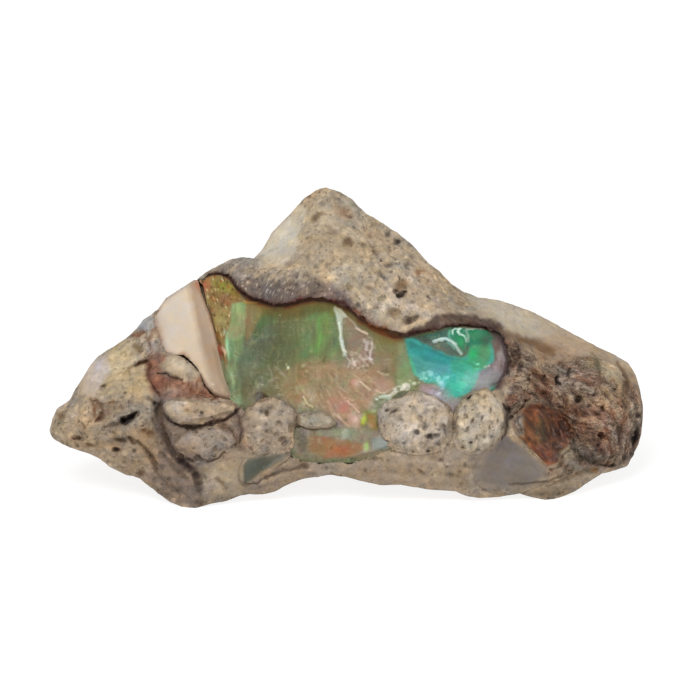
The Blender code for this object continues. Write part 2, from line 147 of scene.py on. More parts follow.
LILAC = ((482, 466), (496, 452), (506, 436), (512, 443), (520, 450), (532, 456), (541, 466), (536, 480), (515, 487),
    (495, 487), (482, 478))
IRON = ((511, 420), (516, 414), (524, 409), (534, 405), (548, 409), (560, 419), (571, 432), (569, 446), (557, 460),
    (546, 465), (536, 458), (526, 446), (516, 436), (511, 430))
BULGE = {
    "clast_centre_left": 0.9, "clast_small": 0.35, "clast_centre": 0.8, "clast_right": 1.2,
    "clast_upper_left": 0.7, "clast_lower_left": 0.7,
}


# ---------------------------------------------------------------- the drawing's geometry
def place(u, v, w):
    u, v, w = (np.asarray(a, float) for a in (u, v, w))
    ray = (
        AHEAD
        + ((u - CENTRE[0]) * FAN)[..., None] * RIGHT
        - ((v - CENTRE[1]) * FAN)[..., None] * UP
    )
    return EYE_POINT + (EYE + w)[..., None] * ray


def drawn(points):
    """The drawing place that a point of the stone shows at."""
    off = points - EYE_POINT
    deep = off @ AHEAD
    return CENTRE[0] + off[:, 0] / deep / FAN, CENTRE[1] - (off @ UP) / deep / FAN


def spline_kernel(r2):
    return np.where(r2 > 0, r2 * np.log(np.maximum(r2, 1e-12)), 0.0)


def fitted(points):
    points = np.array(points, float)
    flat = points[:, :2] / 100
    count = len(flat)
    matrix = np.zeros((count + 3, count + 3))
    apart = flat[:, None] - flat[None]
    matrix[:count, :count] = spline_kernel((apart**2).sum(-1)) + 0.002 * np.eye(count)
    matrix[:count, count] = matrix[count, :count] = 1
    matrix[:count, count + 1 :] = flat
    matrix[count + 1 :, :count] = flat.T
    weights = np.linalg.solve(matrix, np.concatenate([points[:, 2], np.zeros(3)]))

    def sheet(u, v):
        at = np.stack([np.ravel(u), np.ravel(v)], -1) / 100
        out = np.empty(len(at))
        for i in range(0, len(at), 20000):
            part = at[i : i + 20000]
            far = part[:, None] - flat[None]
            out[i : i + 20000] = (
                spline_kernel((far**2).sum(-1)) @ weights[:count]
                + weights[count]
                + part @ weights[count + 1 :]
            )
        return out

    return sheet


front = fitted(RELIEF)


def edge(points):
    us, vs = np.array(points, float).T
    return lambda u: np.interp(u, us, vs)


def to_line(u, v, points, closed=False):
    """Distance on the drawing, in drawing units, to a line through points, and the share of it passed."""
    line = np.array(points, float)
    if closed:
        line = np.concatenate([line, line[:1]])
    best = np.full(len(u), 1e18)
    share = np.zeros(len(u))
    lengths = np.hypot(*(line[1:] - line[:-1]).T)
    start_at = np.concatenate([[0], np.cumsum(lengths)])
    for i in range(len(line) - 1):
        a, d = line[i], line[i + 1] - line[i]
        t = np.clip(((u - a[0]) * d[0] + (v - a[1]) * d[1]) / max(d @ d, 1e-9), 0, 1)
        r2 = (u - a[0] - t * d[0]) ** 2 + (v - a[1] - t * d[1]) ** 2
        nearer = r2 < best
        best = np.where(nearer, r2, best)
        share = np.where(nearer, start_at[i] + t * lengths[i], share)
    return np.sqrt(best), share / start_at[-1]


def inside(u, v, points):
    """Signed distance on the drawing to a closed outline: above 0 inside."""
    apart, _ = to_line(u, v, points, True)
    line = np.array(points, float)
    turns = np.zeros(len(u), bool)
    for a, b in zip(line, np.roll(line, -1, 0)):
        if a[1] == b[1]:
            continue
        crosses = ((a[1] > v) != (b[1] > v)) & (
            u < (b[0] - a[0]) * (v - a[1]) / (b[1] - a[1]) + a[0]
        )
        turns ^= crosses
    return np.where(turns, apart, -apart)


def exit_depth(u, v, normal, point):
    normal = np.array(normal) / np.linalg.norm(normal)
    point = np.array(point) - np.array((SHIFT[0], SHIFT[1], 0.0))
    ray = (place(u, v, np.zeros_like(u)) - EYE_POINT) / EYE
    return (normal @ (point - EYE_POINT)) / (ray @ normal) - EYE


def back(u, v):
    near = front(u, v)
    exits = np.stack([exit_depth(u, v, n, p) for n, p in PLANES])
    least = exits.min(0)
    soft = least - FACET_BLEND * np.log(np.exp(-(exits - least) / FACET_BLEND).sum(0))
    upper = to_line(u, v, TOP)[0] * UNIT
    lower = to_line(u, v, BOTTOM)[0] * UNIT
    closing = np.minimum(
        2.3 * upper + 1.6 * np.sqrt(upper), 7.0 * lower + 2.5 * np.sqrt(lower)
    )
    base = exit_depth(u, v, (0, 0, -1), (0, 0, 0))
    ease = 0.6
    gap = soft - near - closing
    depth = near + np.where(
        gap > 0,
        closing - 0.5 * np.maximum(ease - gap, 0) ** 2 / (2 * ease),
        soft - near - 0.5 * np.maximum(ease + gap, 0) ** 2 / (2 * ease),
    )
    depth = np.maximum(depth, near + 0.5 * np.minimum(closing, 1.0))
    return np.minimum(depth, base)


# ---------------------------------------------------------------- noise
def hashed(cell, seed):
    mix = (
        cell[..., 0] * 374761393 + cell[..., 1] * 668265263 + cell[..., 2] * 1442695041 + seed * 97531
    ) & 0x7FFFFFFF
    mix = ((mix ^ (mix >> 13)) * 1274126177) & 0x7FFFFFFF
    mix = ((mix ^ (mix >> 16)) * 974634777) & 0x7FFFFFFF
    mix = ((mix ^ (mix >> 15)) * 668265263) & 0x7FFFFFFF
    return mix ^ (mix >> 14)


def lattice(points, seed):
    """Smooth noise in -1 to 1."""
    cell = np.floor(points).astype(np.int64)
    part = points - cell
    part = part * part * part * (part * (part * 6 - 15) + 10)
    total = np.zeros(len(points))
    for dx in (0, 1):
        for dy in (0, 1):
            for dz in (0, 1):
                value = (hashed(cell + (dx, dy, dz), seed) & 0xFFFF) / 32767.5 - 1
                total += (
                    value
                    * (part[:, 0] if dx else 1 - part[:, 0])
                    * (part[:, 1] if dy else 1 - part[:, 1])
                    * (part[:, 2] if dz else 1 - part[:, 2])
                )
    return total


SPIN = np.array(((0.36, 0.48, -0.8), (-0.8, 0.6, 0.0), (0.48, 0.64, 0.6)))


def cloudy(points, size, octaves=4, seed=1, fade=0.5):
    """Layered noise, about -1 to 1, its broadest swings size apart."""
    at = points / size
    total, height, whole = 0.0, 1.0, 0.0
    for k in range(octaves):
        total = total + height * lattice(at, seed + 17 * k)
        whole += height
        height *= fade
        at = (at @ SPIN.T) * 2.03 + 11.7
    return total / whole * 1.5


def cells(points, size, seed=1, jitter=0.9):
    """Cell noise: distance to the nearest and second nearest seed point, in sizes, and a random number of the cell."""
    at = points / size
    base = np.floor(at).astype(np.int64)
    near = np.full(len(at), 9.0)
    second = np.full(len(at), 9.0)
    label = np.zeros(len(at), np.int64)
    for dx in (-1, 0, 1):
        for dy in (-1, 0, 1):
            for dz in (-1, 0, 1):
                cell = base + (dx, dy, dz)
                h = hashed(cell, seed)
                spot = cell + 0.5 + jitter * (
                    np.stack([h & 0x3FF, (h >> 10) & 0x3FF, (h >> 20) & 0x3FF], -1) / 1023 - 0.5
                )
                r = np.sqrt(((at - spot) ** 2).sum(-1))
                closer = r < near
                second = np.where(closer, near, np.minimum(second, r))
                label = np.where(closer, hashed(cell, seed + 5), label)
                near = np.where(closer, r, near)
    return near, second, (label & 0xFFFF) / 65535.0


def smooth(x, low, high):
    t = np.clip((x - low) / (high - low), 0, 1)
    return t * t * (3 - 2 * t)


# ---------------------------------------------------------------- painting with masks on the drawing
def blob(u, v, cu, cv, ru, rv, turn=0.0, firm=1.0):
    """1 in the middle of a tilted ellipse and 0 outside it; firm makes its edge harder."""
    a = math.radians(turn)
    x = ((u - cu) * math.cos(a) + (v - cv) * math.sin(a)) / ru
    y = (-(u - cu) * math.sin(a) + (v - cv) * math.cos(a)) / rv
    return np.exp(-((x * x + y * y) ** firm))


# painted light and shade over whole regions, given region by region as brightness factors, together with each region's
# tone
REGION_LIGHT_AND_TONE = (  # centre and radii of a soft region, its turn, and what it does to red, green and blue
    (415, 278, 34, 34, 30, (1.08, 1.08, 1.08)), (398, 308, 40, 20, 10, (1.10, 1.10, 1.10)),
    (292, 289, 52, 10, 3, (1.14, 1.12, 1.07)), (272, 270, 38, 9, 0, (1.09, 1.09, 1.07)),
    (510, 315, 40, 13, 22, (1.05, 1.07, 1.09)), (128, 362, 32, 14, -25, (1.10, 1.11, 1.15)),
    (124, 388, 30, 14, 0, (1.04, 1.04, 1.06)), (78, 422, 26, 18, -20, (1.09, 1.09, 1.10)),
    (180, 366, 15, 9, 20, (1.14, 1.15, 1.17)), (198, 411, 34, 13, 0, (1.08, 1.09, 1.13)),
    (206, 443, 26, 11, 0, (1.06, 1.06, 1.04)), (270, 426, 24, 20, 0, (1.06, 1.07, 1.08)),
    (314, 421, 17, 8, 0, (1.06, 1.07, 1.08)), (414, 424, 38, 24, 0, (1.05, 1.08, 1.13)),
    (482, 424, 24, 24, 0, (1.01, 1.02, 1.06)), (530, 370, 20, 20, 0, (1.05, 1.05, 1.04)),
    (572, 382, 26, 16, 25, (1.07, 1.07, 1.07)), (618, 416, 22, 26, 0, (1.13, 1.14, 1.14)),
    (611, 373, 12, 10, 20, (1.08, 1.10, 1.11)), (439, 396, 14, 8, 20, (1.09, 1.08, 1.13)),
    (266, 350, 24, 26, 0, (0.93, 0.90, 0.85)), (288, 335, 16, 24, 0, (0.98, 0.93, 0.87)),
    (262, 388, 24, 14, 0, (0.92, 0.87, 0.80)), (322, 338, 12, 22, 0, (1.0, 0.93, 0.93)),
    (238, 324, 8, 20, 0, (1.05, 0.96, 0.96)), (489, 378, 12, 9, 0, (0.88, 0.93, 0.91)),
    (452, 370, 16, 12, 0, (0.90, 1.0, 1.03)), (332, 449, 22, 8, 0, (0.93, 0.96, 0.96)),
    (335, 436, 30, 6, 0, (1.0, 0.95, 0.93)), (262, 466, 18, 11, -20, (0.90, 0.89, 0.87)),
    (515, 466, 24, 20, 0, (0.93, 0.92, 0.89)), (550, 490, 26, 8, 0, (0.93, 0.93, 0.93)),
    (529, 428, 7, 18, 0, (0.90, 0.98, 0.97)), (543, 430, 9, 17, 0, (0.86, 0.79, 0.71)),
    (560, 430, 9, 13, 0, (1.07, 0.99, 0.88)), (206, 345, 8, 28, -10, (0.95, 0.94, 0.92)),
    (174, 326, 16, 24, 0, (0.97, 0.97, 0.98)),
)


class Canvas:
    """Colours of a surface's points, painted on the drawing. Colours are given as sRGB, 0 to 255."""

    def __init__(self, u, v, points, wobble=1.5, seed=40):
        self.points = points
        at = points / 0.55
        self.u = u + wobble * lattice(at, seed) + 0.5 * wobble * lattice(at * 2.7, seed + 1)
        self.v = v + wobble * lattice(at, seed + 2) + 0.5 * wobble * lattice(at * 2.7, seed + 3)
        self.rgb = np.zeros((len(u), 3))

    def lay(self, mask, colour, strength=1.0):
        amount = np.clip(mask * strength, 0, 1)[:, None]
        self.rgb += amount * (np.array(colour, float) - self.rgb)

    def scale(self, factor):
        self.rgb *= factor[:, None]

    def blob(self, cu, cv, ru, rv, colour, turn=0.0, strength=1.0, firm=1.0):
        self.lay(blob(self.u, self.v, cu, cv, ru, rv, turn, firm), colour, strength)

    def patch(self, points, colour, soft=3.0, strength=1.0, grow=0.0):
        self.lay(smooth(inside(self.u, self.v, points) + grow, -soft, soft), colour, strength)

    def stroke(self, points, width, colour, soft=1.0, strength=1.0, taper=True):
        apart, share = to_line(self.u, self.v, points)
        wide = width * (np.sqrt(np.clip(4 * share * (1 - share), 0, 1)) if taper else 1.0)
        self.lay(1 - smooth(apart - wide / 2, -soft, soft), colour, strength)

    def linear(self):
        self.lay_region_light_and_tone()
        c = np.clip(self.rgb / 255, 0, 1)
        return np.where(c <= 0.04045, c / 12.92, ((c + 0.055) / 1.055) ** 2.4)

    def lay_region_light_and_tone(self):
        """Painted light and shade, together with tone, over whole regions, whichever piece they fall on."""
        for cu, cv, ru, rv, turn, tint in REGION_LIGHT_AND_TONE:
            share = blob(self.u, self.v, cu, cv, ru, rv, turn, 1.4)[:, None]
            self.rgb *= 1 + share * (np.array(tint) - 1)


# ---------------------------------------------------------------- meshes
def normals_of(points, faces):
    """Smooth outward normals of a mesh of quads and triangles, given as rows of four corners (a triangle repeats its last)."""
    a, b, c, d = (points[faces[:, i]] for i in range(4))
    flat = np.cross(c - a, d - b)
    out = np.zeros_like(points)
    for i in range(4):
        for k in range(3):
            out[:, k] += np.bincount(faces[:, i], flat[:, k], len(points))
    return out / np.maximum(np.linalg.norm(out, axis=1), 1e-12)[:, None]


def mesh_object(name, points, faces, colours=None, extra=None):
    """A mesh object from points in mm and rows of four corners."""
    rows = [tuple(f) if f[2] != f[3] else tuple(f[:3]) for f in faces.tolist()]
    mesh = bpy.data.meshes.new(name)
    mesh.from_pydata((points * 0.001).tolist(), [], rows)
    if colours is not None:
        attribute = mesh.color_attributes.new("paint", "FLOAT_COLOR", "POINT")
        flat = np.ones((len(points), 4), np.float32)
        flat[:, :3] = colours
        attribute.data.foreach_set("color", flat.ravel())
    for key, values in (extra or {}).items():
        attribute = mesh.attributes.new(key, "FLOAT", "POINT")
        attribute.data.foreach_set("value", values.astype(np.float32))
    mesh.update()
    mesh.shade_smooth()
    made = bpy.data.objects.new(name, mesh)
    bpy.context.scene.collection.objects.link(made)
    return made


def section_grid(upper, lower, left, right, columns, rows_near, rows_far, even=0.75):
    """The drawing places of a closed body built of upright sections: for each point u, v, whether it is on the near
    side, and the faces. The first and last point are the ends."""
    share = np.arange(1, columns) / columns
    share = even * share + (1 - even) * (1 - np.cos(math.pi * share)) / 2
    ring = rows_near + rows_far
    rise = np.concatenate(
        [
            np.arange(rows_near + 1) / rows_near,
            (1 + np.cos(math.pi * np.arange(1, rows_far) / rows_far)) / 2,
        ]
    )
    near_side = np.arange(ring) <= rows_near
    us = left[0] + (right[0] - left[0]) * share
    u = np.repeat(us, ring)
    low, high = lower(us), upper(us)
    v = (low[:, None] + (high - low)[:, None] * rise[None]).ravel()
    u = np.concatenate([[left[0]], u, [right[0]]])
    v = np.concatenate([[left[1]], v, [right[1]]])
    near = np.concatenate([[True], np.tile(near_side, columns - 1), [True]])
    i, k = np.meshgrid(np.arange(columns - 2), np.arange(ring), indexing="ij")
    a = 1 + i * ring + k
    b = a + ring
    c = 1 + (i + 1) * ring + (k + 1) % ring
    d = 1 + i * ring + (k + 1) % ring
    quads = np.stack([a, b, c, d], -1).reshape(-1, 4)
    k = np.arange(ring)
    first = np.stack([np.zeros(ring, int), 1 + k, 1 + (k + 1) % ring, 1 + (k + 1) % ring], -1)
    last = len(u) - 1
    tail = 1 + (columns - 2) * ring
    final = np.stack([np.full(ring, last), tail + (k + 1) % ring, tail + k, tail + k], -1)
    return u, v, near, np.concatenate([quads, first, final])


def rounded_outline(points, count=360):
    """A closed outline made smooth, as a reach at each angle from its middle."""
    points = np.array(points, float)
    middle = points.mean(0)
    spoke = points - middle
    angle = np.arctan2(spoke[:, 1], spoke[:, 0])
    order = np.argsort(angle)
    theta = np.linspace(-math.pi, math.pi, count, endpoint=False)
    reach = np.interp(theta, angle[order], np.hypot(*spoke.T)[order], period=2 * math.pi)
    kernel = np.exp(-((np.arange(-30, 31) / 6.0) ** 2))
    kernel /= kernel.sum()
    wrapped = np.concatenate([reach[-30:], reach, reach[:30]])
    return middle, theta, np.convolve(wrapped, kernel, "valid")


def ball_grid(outline, fineness, grow=0.0):
    """A ball fitted to an outline on the drawing: u, v, dome (1 in the middle, 0 at the rim), near side, faces."""
    middle, angles, lengths = rounded_outline(outline)
    bm = bmesh.new()
    bmesh.ops.create_icosphere(bm, subdivisions=fineness, radius=1)
    at = np.array([vert.co[:] for vert in bm.verts])
    faces = np.array([[loop.vert.index for loop in face.loops] for face in bm.faces])
    bm.free()
    theta = np.arctan2(at[:, 1], at[:, 0])
    reach = np.minimum(np.hypot(at[:, 0], at[:, 1]), 1)
    rim = np.interp(theta, angles, lengths, period=2 * math.pi) + grow
    u = middle[0] + reach * rim * np.cos(theta)
    v = middle[1] + reach * rim * np.sin(theta)
    faces = np.concatenate([faces, faces[:, 2:]], 1)
    return u, v, np.sqrt(1 - reach**2), at[:, 2] >= 0, faces


def facing_out(points, faces):
    a, b, c = points[faces[:, 0]], points[faces[:, 1]], points[faces[:, 2]]
    volume = np.einsum("ij,ij->i", a, np.cross(b, c)).sum()
    d = points[faces[:, 3]]
    volume += np.einsum("ij,ij->i", a, np.cross(c, d)).sum()
    if volume >= 0:
        return faces
    flipped = faces[:, ::-1].copy()
    triangle = flipped[:, 0] == flipped[:, 1]
    flipped[triangle] = np.concatenate([flipped[triangle][:, 1:], flipped[triangle][:, 3:]], 1)
    return flipped


# ---------------------------------------------------------------- what the front face shows, by its places on the drawing
SEAM = SEAM_TOP + SEAM_BOTTOM[-2:0:-1]
CONTACT = (
    (196, 279), (206, 281), (212, 300), (217, 320), (222, 342), (228, 364), (235, 386), (242, 402), (226, 399), (212, 394),
    (205, 386), (201, 374), (204, 340), (198, 316), (194, 296),
)
OPAL_SEEN = (
    (216, 270), (240, 300), (300, 302), (340, 306), (404, 337), (440, 326), (496, 334), (509, 356), (503, 384), (499, 394),
    (486, 387), (474, 389), (463, 395), (456, 403), (450, 401), (436, 393), (410, 388), (393, 396), (381, 404), (376, 418),
    (378, 438), (386, 450), (374, 458), (330, 460), (299, 458), (299, 432), (318, 433), (338, 430), (341, 422), (331, 413),
    (312, 406), (299, 408), (290, 399), (279, 396), (266, 395), (250, 402), (238, 404), (222, 366), (206, 300),
)
POTCH = POTCH_TOP + POTCH_BOTTOM[-2:0:-1]

# the outlines as they show, drawn more closely than the model's
SEEN = {
    "clast_centre_left": ((243, 428), (244, 418), (248, 409), (256, 402), (266, 398), (279, 399), (289, 402), (295, 409),
        (297, 418), (297, 432), (295, 443), (288, 450), (276, 453), (262, 451), (250, 446), (244, 438)),
    "clast_small": ((298, 416), (302, 411), (312, 409), (322, 411), (331, 416), (338, 424), (330, 429), (318, 431),
        (305, 431), (299, 426)),
    "clast_centre": ((378, 412), (384, 404), (393, 399), (402, 396), (409, 391), (420, 391), (434, 396), (445, 402),
        (451, 411), (452, 424), (450, 438), (441, 449), (424, 453), (404, 451), (388, 446), (380, 436), (378, 424)),
    "clast_right": ((455, 416), (458, 405), (465, 397), (475, 392), (486, 390), (495, 394), (502, 403), (505, 415),
        (504, 428), (500, 438), (492, 447), (480, 453), (468, 454), (459, 449), (455, 440), (454, 428)),
    "clast_upper_left": ((161, 405), (170, 402), (186, 400), (206, 399), (224, 401), (236, 405), (237, 409), (229, 414),
        (217, 419), (204, 423), (190, 426), (178, 424), (168, 417)),
    "clast_lower_left": ((174, 446), (180, 437), (192, 430), (207, 427), (221, 428), (231, 434), (235, 443), (231, 450),
        (221, 452), (214, 457), (200, 458), (186, 454)),
    "lower_opal": ((243, 466), (248, 459), (260, 455), (275, 453), (290, 452), (287, 458), (275, 465), (263, 473),
        (253, 482), (244, 484)),
    "lilac_opal": ((476, 470), (484, 458), (494, 447), (500, 438), (505, 434), (513, 441), (524, 449), (536, 458),
        (546, 468), (544, 480), (528, 487), (505, 490), (486, 487), (477, 479)),
    "iron_opal": ((511, 424), (514, 416), (521, 409), (530, 403), (542, 402), (552, 408), (564, 414), (573, 424),
        (575, 436), (568, 446), (560, 452), (560, 463), (546, 467), (535, 456), (527, 446), (518, 438)),
}

# pits and holes: u, v, half width, half height, turn in degrees, depth in mm, colour (mostly dark, painted shade in the
# pit), strength of the colour
HOLES = (
    # upper lump
    (314.5, 217, 4.0, 3.4, -50, 0.22, (118, 98, 76), 0.85), (320, 212, 4.5, 1.8, -35, 0.14, (130, 110, 88), 0.8),
    (334, 232, 4.2, 4.0, 0, 0.14, (140, 122, 103), 0.8), (348.5, 241, 4.5, 3.6, 20, 0.24, (112, 90, 68), 0.9),
    (343, 211, 8.0, 5.0, 25, 0.12, (158, 128, 104), 0.75), (348, 215, 2.5, 1.6, 20, 0.10, (120, 92, 74), 0.7),
    (352, 205, 3.0, 1.6, 30, 0.10, (118, 122, 98), 0.7), (363, 243, 2.6, 3.0, 0, 0.16, (118, 102, 88), 0.8),
    (370, 234, 3.0, 1.8, 20, 0.10, (128, 108, 92), 0.7), (375, 252, 1.8, 3.8, -25, 0.14, (120, 104, 90), 0.8),
    (374, 245, 2.6, 1.8, -20, 0.10, (128, 110, 94), 0.7), (388, 233.5, 2.4, 2.4, 0, 0.16, (88, 78, 66), 0.85),
    (398, 241.5, 2.6, 2.2, 20, 0.22, (52, 44, 38), 0.95), (409, 246, 3.0, 2.2, 40, 0.10, (104, 94, 80), 0.7),
    (389, 264.5, 4.5, 2.6, -20, 0.20, (112, 98, 84), 0.85), (406.5, 266, 2.8, 5.2, 8, 0.22, (104, 92, 80), 0.85),
    (381, 275, 2.8, 2.0, 30, 0.20, (82, 80, 80), 0.85), (384, 278, 2.0, 1.5, 0, 0.14, (84, 84, 86), 0.8),
    (419, 272.5, 6.0, 2.4, -25, 0.14, (150, 112, 80), 0.8), (417, 277, 3.0, 2.0, 20, 0.12, (140, 100, 70), 0.7),
    (401, 285, 5.0, 5.0, 0, 0.30, (120, 96, 70), 0.85), (395.5, 291.5, 2.4, 1.8, -35, 0.22, (58, 44, 36), 0.9),
    (382, 299, 4.0, 2.2, -20, 0.14, (126, 116, 92), 0.75), (393, 314.5, 5.0, 3.6, 0, 0.20, (128, 108, 82), 0.85),
    (408, 321.5, 5.0, 2.6, -22, 0.26, (66, 54, 44), 0.9), (415, 318.5, 3.4, 2.0, -20, 0.18, (78, 64, 52), 0.8),
    (350, 288, 3.4, 5.0, -25, 0.14, (142, 122, 92), 0.7), (368, 287, 3.0, 2.2, 20, 0.12, (126, 108, 92), 0.7),
    (289, 264, 4.0, 2.6, -20, 0.12, (134, 116, 102), 0.7), (311, 241, 4.0, 2.4, 0, 0.08, (152, 132, 108), 0.6),
    (330, 226, 3.0, 1.8, 20, 0.10, (140, 120, 98), 0.6), (362, 262, 2.6, 2.0, 0, 0.10, (146, 126, 104), 0.6),
    (418, 300, 3.4, 2.0, -20, 0.10, (140, 120, 98), 0.6), (432, 296, 2.6, 2.2, 0, 0.10, (138, 120, 98), 0.6),
    (426, 283, 2.2, 2.0, 0, 0.12, (130, 112, 94), 0.6), (356, 297, 2.2, 2.0, 0, 0.10, (120, 104, 90), 0.6),
    (399, 262, 1.6, 1.6, 0, 0.12, (120, 106, 92), 0.7), (373, 225, 2.2, 1.8, 0, 0.10, (136, 118, 98), 0.6),
    (390, 250, 2.0, 2.0, 0, 0.10, (136, 118, 100), 0.6), (411, 257, 2.0, 2.4, 0, 0.12, (112, 98, 86), 0.7),
    (341, 262, 2.4, 1.6, 10, 0.08, (148, 128, 106), 0.6), (376, 309, 2.4, 1.8, 0, 0.10, (126, 106, 88), 0.6),
    (437, 308, 3.0, 2.0, 0, 0.10, (140, 120, 98), 0.6), (462, 304, 3.0, 2.0, -30, 0.10, (136, 116, 94), 0.6),
    (352, 276, 2.0, 1.6, 0, 0.08, (140, 122, 100), 0.6), (296, 276, 2.6, 2.2, 0, 0.12, (116, 102, 92), 0.7),
    # left end
    (123, 421, 3.6, 3.2, 0, 0.75, (34, 26, 22), 1.0), (130, 417.5, 7.0, 2.6, -32, 0.65, (38, 30, 26), 1.0),
    (136, 414, 3.0, 1.8, -20, 0.45, (44, 36, 32), 0.95), (103, 386.5, 2.6, 1.8, -30, 0.22, (70, 52, 34), 0.85),
    (137.5, 349, 3.8, 3.4, 0, 0.28, (112, 92, 62), 0.85), (134, 346, 2.0, 2.4, 0, 0.14, (120, 98, 68), 0.7),
    (137, 335, 5.0, 2.2, -20, 0.20, (124, 84, 58), 0.85), (143, 331.5, 3.4, 1.8, 10, 0.16, (112, 76, 54), 0.8),
    (146, 339, 2.8, 1.6, 20, 0.14, (118, 84, 62), 0.7), (154, 330, 2.4, 4.0, 10, 0.12, (142, 106, 84), 0.7),
    (78, 438, 5.0, 1.8, 5, 0.22, (76, 56, 42), 0.85), (115, 450.5, 3.0, 1.8, 15, 0.26, (48, 34, 26), 0.95),
    (119, 441, 6.0, 1.8, 5, 0.22, (86, 66, 48), 0.85), (130, 440.5, 5.0, 2.0, 25, 0.22, (84, 62, 46), 0.85),
    (62, 417, 3.0, 3.4, 0, 0.16, (112, 88, 66), 0.75), (90, 445, 4.0, 1.8, 15, 0.14, (106, 82, 58), 0.7),
    (112, 403, 3.0, 2.0, 0, 0.14, (126, 96, 72), 0.7), (108, 411, 2.6, 2.6, 0, 0.14, (126, 104, 94), 0.7),
    (104, 404, 2.2, 1.8, 0, 0.12, (110, 84, 66), 0.7), (121, 408, 2.2, 2.2, 0, 0.14, (112, 94, 80), 0.7),
    (154, 403, 2.4, 3.4, -20, 0.26, (74, 62, 52), 0.85), (157, 409, 2.4, 2.4, 0, 0.22, (80, 68, 58), 0.8),
    (150, 400, 3.4, 1.6, 15, 0.16, (110, 92, 70), 0.7), (126, 373, 4.0, 2.0, 10, 0.12, (150, 126, 88), 0.6),
    (97, 410, 2.0, 6.0, 10, 0.18, (126, 88, 60), 0.7), (86, 427, 3.0, 2.0, 20, 0.12, (120, 94, 70), 0.7),
    (150, 434, 4.0, 3.0, 30, 0.18, (100, 74, 52), 0.75), (143, 431, 3.0, 2.0, 0, 0.14, (112, 82, 56), 0.7),
    (140, 474, 4.0, 3.0, 0, 0.14, (112, 84, 60), 0.7), (167, 440, 3.0, 6.0, -25, 0.30, (76, 62, 52), 0.8),
    # grey foot below the two left clasts
    (180, 462, 5.0, 3.0, 30, 0.40, (52, 40, 38), 0.95), (187, 467, 4.4, 2.6, 35, 0.40, (56, 44, 42), 0.95),
    (195, 475.5, 3.4, 2.6, 20, 0.30, (66, 54, 48), 0.9), (198, 483, 3.0, 2.4, 0, 0.24, (78, 66, 58), 0.8),
    (200, 503, 5.0, 2.6, 10, 0.16, (86, 72, 62), 0.7), (171, 452, 3.0, 5.0, -30, 0.30, (80, 66, 58), 0.8),
    (215, 449, 2.0, 2.6, 0, 0.18, (112, 94, 78), 0.7), (214, 456, 2.4, 2.0, 0, 0.14, (120, 104, 88), 0.7),
    (178, 490, 4.0, 3.0, 20, 0.16, (96, 84, 74), 0.6), (220, 471, 3.0, 2.4, 0, 0.12, (142, 120, 92), 0.5),
    # clasts
    (266.5, 413, 2.6, 3.4, -30, 0.24, (104, 90, 78), 0.85), (270, 409, 3.0, 1.4, -40, 0.12, (126, 110, 96), 0.7),
    (291, 427, 1.0, 5.0, 0, 0.14, (112, 96, 80), 0.7), (279, 423, 2.2, 1.6, 20, 0.14, (122, 106, 92), 0.7),
    (283, 439, 2.6, 2.0, -20, 0.18, (104, 88, 76), 0.8), (285, 443, 1.6, 3.0, 20, 0.14, (112, 98, 84), 0.7),
    (255, 427, 1.8, 1.6, 0, 0.10, (128, 110, 96), 0.6), (262, 441, 2.4, 1.2, -30, 0.12, (120, 104, 90), 0.7),
    (262, 408, 1.6, 1.4, 0, 0.10, (124, 108, 94), 0.6), (249, 420, 1.4, 2.0, 0, 0.10, (128, 112, 98), 0.6),
    (394.5, 411.5, 4.6, 2.0, -30, 0.20, (96, 84, 74), 0.85), (401, 420, 2.0, 1.4, 0, 0.12, (120, 106, 94), 0.7),
    (443, 426, 2.4, 1.8, 30, 0.18, (106, 92, 80), 0.8), (430, 436.5, 3.6, 2.2, -20, 0.26, (74, 66, 62), 0.9),
    (436, 435, 2.4, 1.6, 0, 0.18, (92, 82, 76), 0.8), (417, 432.5, 2.4, 1.8, 0, 0.18, (86, 76, 70), 0.85),
    (428, 450.5, 1.6, 1.6, 0, 0.22, (36, 30, 28), 0.95), (405, 443, 1.8, 1.4, 0, 0.12, (108, 96, 86), 0.7),
    (386, 442.5, 3.0, 1.6, 10, 0.14, (96, 86, 80), 0.75), (421, 418, 1.6, 1.6, 0, 0.10, (126, 110, 96), 0.7),
    (410, 406, 1.4, 1.4, 0, 0.10, (126, 110, 96), 0.6), (434, 410, 1.4, 2.0, 0, 0.10, (124, 110, 94), 0.6),
    (424, 428, 1.6, 1.2, 0, 0.12, (112, 98, 88), 0.7), (439, 444, 1.6, 1.4, 0, 0.12, (108, 94, 84), 0.7),
    (469, 398.5, 3.6, 1.8, -30, 0.34, (58, 50, 44), 0.9), (473.5, 420, 1.6, 2.6, 25, 0.18, (100, 88, 76), 0.8),
    (489, 427, 1.6, 3.0, 5, 0.20, (84, 74, 64), 0.85), (482, 418, 1.4, 2.6, 20, 0.14, (110, 96, 82), 0.75),
    (478, 449, 2.6, 1.8, 0, 0.16, (98, 84, 72), 0.8), (468, 430, 1.4, 2.6, 20, 0.14, (112, 98, 84), 0.7),
    (490, 410, 1.4, 2.4, 20, 0.12, (122, 106, 90), 0.7), (497, 421, 1.2, 2.4, 0, 0.14, (108, 94, 80), 0.7),
    (484, 437, 1.4, 2.0, 20, 0.12, (116, 102, 86), 0.7), (463, 447, 2.0, 2.0, 0, 0.14, (108, 92, 76), 0.7),
    (471, 442, 1.8, 1.2, 0, 0.12, (122, 106, 88), 0.6), (466, 416, 1.2, 2.0, 0, 0.10, (124, 108, 90), 0.6),
    (187, 410, 3.6, 2.6, 10, 0.12, (138, 116, 90), 0.7), (196, 412, 2.4, 2.0, 0, 0.12, (130, 110, 86), 0.7),
    (205, 440, 1.8, 1.8, 0, 0.10, (126, 110, 96), 0.6), (222, 437, 1.8, 1.6, 0, 0.10, (130, 114, 98), 0.6),
    # bottom band
    (305, 465, 4.0, 2.4, 10, 0.20, (92, 78, 66), 0.85), (300, 467, 2.6, 1.4, -20, 0.12, (104, 90, 76), 0.7),
